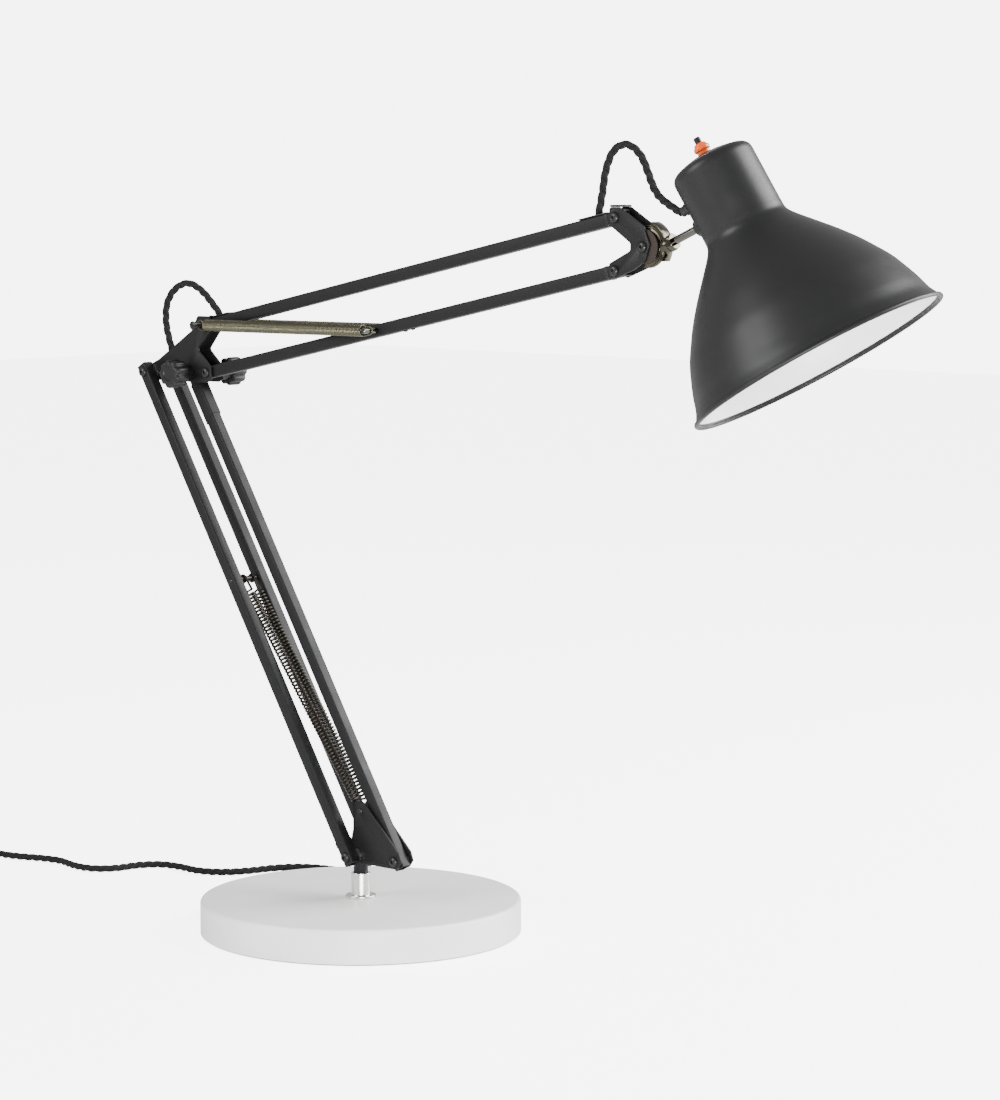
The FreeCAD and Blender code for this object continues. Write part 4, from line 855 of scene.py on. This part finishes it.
def evenly(line, gap):
    """A line's points put an even gap apart along it."""
    run = np.concatenate(([0], np.cumsum(np.linalg.norm(np.diff(line, axis=0), axis=1))))
    marks = np.linspace(0, run[-1], int(run[-1] / gap) + 2)
    return np.stack([np.interp(marks, run, line[:, axis]) for axis in range(3)], 1), marks


def twisted(name, line, square, start=0.0, sides=10, gap=0.9 * MM):
    """Strands wound round a line: each one's middle is the point + offset (cos a side + sin a top),
    with a = 2 pi (distance / lay + strand / strands). Its map runs along and round it."""
    middle, marks = evenly(line, gap)
    side, top = across_line(middle, square)
    offset = CORD / 2 - STRAND
    shells, maps = [], []
    for strand in range(STRANDS):
        a = (2 * np.pi * ((marks + start) / LAY + strand / STRANDS))[:, None]
        strand_line = middle + offset * (np.cos(a) * side + np.sin(a) * top)
        shells.append(round_wire(strand_line, square, STRAND, sides))
        round_share = np.tile(np.arange(sides) / sides * 2 * np.pi * 0.5, len(middle))
        along_share = np.repeat((marks + start) / (2.2 * MM), sides)
        maps.append(np.stack((round_share, along_share), 1))
    points, faces = together(*shells)
    mesh = bpy.data.meshes.new(name)
    mesh.from_pydata(points.tolist(), [], faces)
    corner = np.empty(len(mesh.loops), np.int32)
    mesh.loops.foreach_get("vertex_index", corner)
    layer = mesh.uv_layers.new(name="UVMap")
    layer.data.foreach_set("uv", np.concatenate(maps)[corner].astype(np.float32).ravel())
    mesh.polygons.foreach_set("use_smooth", [True] * len(mesh.polygons))
    mesh.materials.append(black_sleeving)
    return placed(name, mesh), middle, marks[-1]


floor_rise = 2.9
outlet_end = (outlet_foot + outlet_way * OUTLET_LENGTH * MM) / MM
floor_route = [
    tuple(outlet_end), (-102.5, 113.0, 15.5), (-115.0, 123.5, 8.0), (-131.0, 131.5, floor_rise),
    (-150.0, 136.5, floor_rise), (-171.0, 136.0, floor_rise), (-190.5, 127.5, floor_rise),
    (-203.0, 110.0, floor_rise), (-208.0, 89.5, floor_rise), (-219.0, 71.0, floor_rise),
    (-238.0, 62.0, floor_rise), (-259.0, 65.0, floor_rise), (-279.5, 62.5, floor_rise),
    (-290.5, 46.0, floor_rise), (-292.0, 26.0, floor_rise), (-306.0, 12.0, floor_rise),
    (-327.0, 12.5, floor_rise), (-348.0, 19.5, floor_rise), (-369.0, 15.0, floor_rise),
    (-389.0, 6.5, floor_rise), (-410.0, 4.6, floor_rise), (-429.0, 4.4, floor_rise)]
coil_middle = np.array((-442.0, -31.0))
COIL_STEPS = 18
STEP_OVER = 0.28
coil_turns = [
    (35, floor_rise), (29.3, floor_rise), (23.7, floor_rise), (23.7, 8.5), (29.3, 8.5), (35, 8.5),
    (25.5, 14.1), (31.3, 14.1)]
coil_route = []
for step in range(1, COIL_STEPS * len(coil_turns) + 1):
    turn, part = divmod(step, COIL_STEPS)
    here = coil_turns[min(turn, len(coil_turns) - 1)]
    before = coil_turns[max(turn - 1, 0)] if turn < len(coil_turns) else coil_turns[-1]
    ease = min(1.0, part / (STEP_OVER * COIL_STEPS)) if turn < len(coil_turns) else 1.0
    radius, rise = (before[k] + (here[k] - before[k]) * ease for k in (0, 1))
    angle = math.radians(90) + 2 * math.pi * step / COIL_STEPS
    coil_route.append((
        coil_middle[0] + radius * math.cos(angle), coil_middle[1] + radius * math.sin(angle), rise))
plug_route = [
    (-455.0, 2.5, 13.4), (-470.0, 6.5, 11.0), (-483.5, 7.5, 8.5), (-492.0, 2.0, 6.8), (-493.5, -7.5, 6.5)]
mains_line = smooth_line(in_metres(floor_route + coil_route + plug_route))
mains, mains_path, _ = twisted("mains_cord_strands", mains_line, UP)
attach(mains, "base")
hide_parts("mains_cord", "cord_coil")

elbow_route = [
    (-191.5, 0, 406.6), (-196.5, 0, 419.0), (-200.0, 0, 432.5), (-198.5, 0, 446.0), (-189.0, 0, 457.0),
    (-174.5, 0, 461.5), (-161.0, 0, 456.0), (-150.5, 0, 447.5), (-141.0, 0, 438.2)]
elbow_line = smooth_line(in_metres(elbow_route))
elbow_loop, elbow_path, elbow_length = twisted("elbow_cord_strands", elbow_line, ACROSS)
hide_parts("elbow_cord_loop")
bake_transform(elbow_loop)

gland_mouth = tuple((gland_foot + gland_out * 5 * MM) / MM)
head_route = [
    (222.0, 0, 513.8), (225.6, 0, 528.5), (228.0, -0.5, 543.0), (235.5, -1.5, 557.5), (249.0, -3.0, 562.0),
    (262.5, -4.8, 554.5), (270.5, -6.8, 541.5), (278.0, -9.6, 530.5), (288.0, -13.0, 523.8), gland_mouth]
head_line, head_marks = evenly(smooth_line(in_metres(head_route)), 0.5 * MM)
cuts = [0, int(len(head_line) * 0.34), int(len(head_line) * 0.67), len(head_line) - 1]
bends = (("upper_link", "head_bracket"), ("head_bracket", "knuckle"), ("knuckle", "head"))
for number, (low, high, bodies) in enumerate(zip(cuts, cuts[1:], bends), start=1):
    piece, path, length = twisted(
        "head_cord_strands_%d" % number, head_line[low:high + 1], ACROSS, head_marks[low])
    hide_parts("head_cord_loop")
    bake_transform(piece)

# ------------------------------------------------------------------------------- plug
# A flat moulded two-pin plug with a tapered tail, lying beside the put-away cord.
plug = eased("plug_body", black_plastic, 1.6 * MM, "base")
pins_low, pins_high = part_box("plug_pins")
for number, across in enumerate((pins_low.x + 2 * MM, pins_high.x - 2 * MM), start=1):
    foot = np.array((across, pins_high.y, (pins_low.z + pins_high.z) / 2))
    length = (pins_high.y - pins_low.y) / MM
    pin = softened(in_metres([(0, 0), (2, 0), (2, length, 1.4), (0, length)]))
    solid("plug_pin_%d" % number, *turned(pin, foot, -ACROSS, 32), nickel_plate, "base", ["plug_pins"],
          "nickel")

# ------------------------------------------------------------------------------- room
# A plain pale desk without a visible edge, under large soft lights. The camera sees the desk and
# the backdrop brighter than they light the lamp.
DESK_GLOW = 5.0
ROOM_LIGHT, SEEN_LIGHT = 0.7, 6.5
floor_mesh = bpy.data.meshes.new("desk")
floor_mesh.from_pydata([(-6, -6, 0), (6, -6, 0), (6, 6, 0), (-6, 6, 0)], [], [(0, 1, 2, 3)])
floor = placed("desk", floor_mesh)
floor.location.z = -0.1 * MM
desk_white = bpy.data.materials.new("pale desk")
desk_white.use_nodes = True
desk = desk_white.node_tree.nodes["Principled BSDF"]
desk.inputs["Base Color"].default_value = (0.9, 0.9, 0.9, 1)
desk.inputs["Roughness"].default_value = 0.6
desk.inputs["Specular IOR Level"].default_value = 0.0
desk.inputs["Emission Color"].default_value = (1, 1, 1, 1)
seen = desk_white.node_tree.nodes.new("ShaderNodeLightPath")
glow = maths(desk_white.node_tree, "MULTIPLY", seen.outputs["Is Camera Ray"], DESK_GLOW)
desk_white.node_tree.links.new(glow, desk.inputs["Emission Strength"])
floor_mesh.materials.append(desk_white)

world = bpy.data.worlds.new("studio")
bpy.context.scene.world = world
world.use_nodes = True
world.node_tree.nodes["Background"].inputs["Color"].default_value = (1, 1, 1, 1)
backdrop = world.node_tree.nodes.new("ShaderNodeMapRange")
backdrop.inputs["To Min"].default_value = ROOM_LIGHT
backdrop.inputs["To Max"].default_value = SEEN_LIGHT
seen = world.node_tree.nodes.new("ShaderNodeLightPath")
world.node_tree.links.new(seen.outputs["Is Camera Ray"], backdrop.inputs["Value"])
world.node_tree.links.new(backdrop.outputs["Result"], world.node_tree.nodes["Background"].inputs["Strength"])


def soft_light(name, place, aim, width, height, power):
    """A rectangular area light at a place, facing its aim, with its power in watts."""
    data = bpy.data.lights.new(name, "AREA")
    data.shape = "RECTANGLE"
    data.size = width
    data.size_y = height
    data.energy = power
    light = placed(name, data)
    light.location = place
    light.rotation_mode = "QUATERNION"
    light.rotation_quaternion = (Vector(place) - Vector(aim)).to_track_quat("Z", "Y")


soft_light("overhead softbox", (1.5, 1.2, 1.5), (0.1, 0, 0.1), 1.2, 1.0, 62)
soft_light("left softbox", (-0.7, -2.0, 1.35), (0.25, 0, 0.3), 1.2, 1.4, 46)
soft_light("back softbox", (1.0, 2.0, 0.9), (0.35, 0, 0.4), 0.9, 1.8, 60)
soft_light("low fill", (1.3, -1.0, 0.15), (0.45, 0, 0.4), 0.9, 0.4, 40)

# ------------------------------------------------------------------------------- camera
# A long lens at the height of the lamp's middle, from the near side, round toward the shade.
azimuth, elevation = math.radians(42), math.radians(6.15)
look_at = Vector((134.3, 0, 284.9)) * MM
camera_distance = 2462 * MM
back = Vector((math.sin(azimuth) * math.cos(elevation), -math.cos(azimuth) * math.cos(elevation),
               math.sin(elevation)))
camera_data = bpy.data.cameras.new("camera")
camera_data.lens = 117.6
camera_data.sensor_width = 36
camera = placed("camera", camera_data)
camera.location = look_at + back * camera_distance
camera.rotation_mode = "QUATERNION"
camera.rotation_quaternion = back.to_track_quat("Z", "Y")
bpy.context.scene.camera = camera
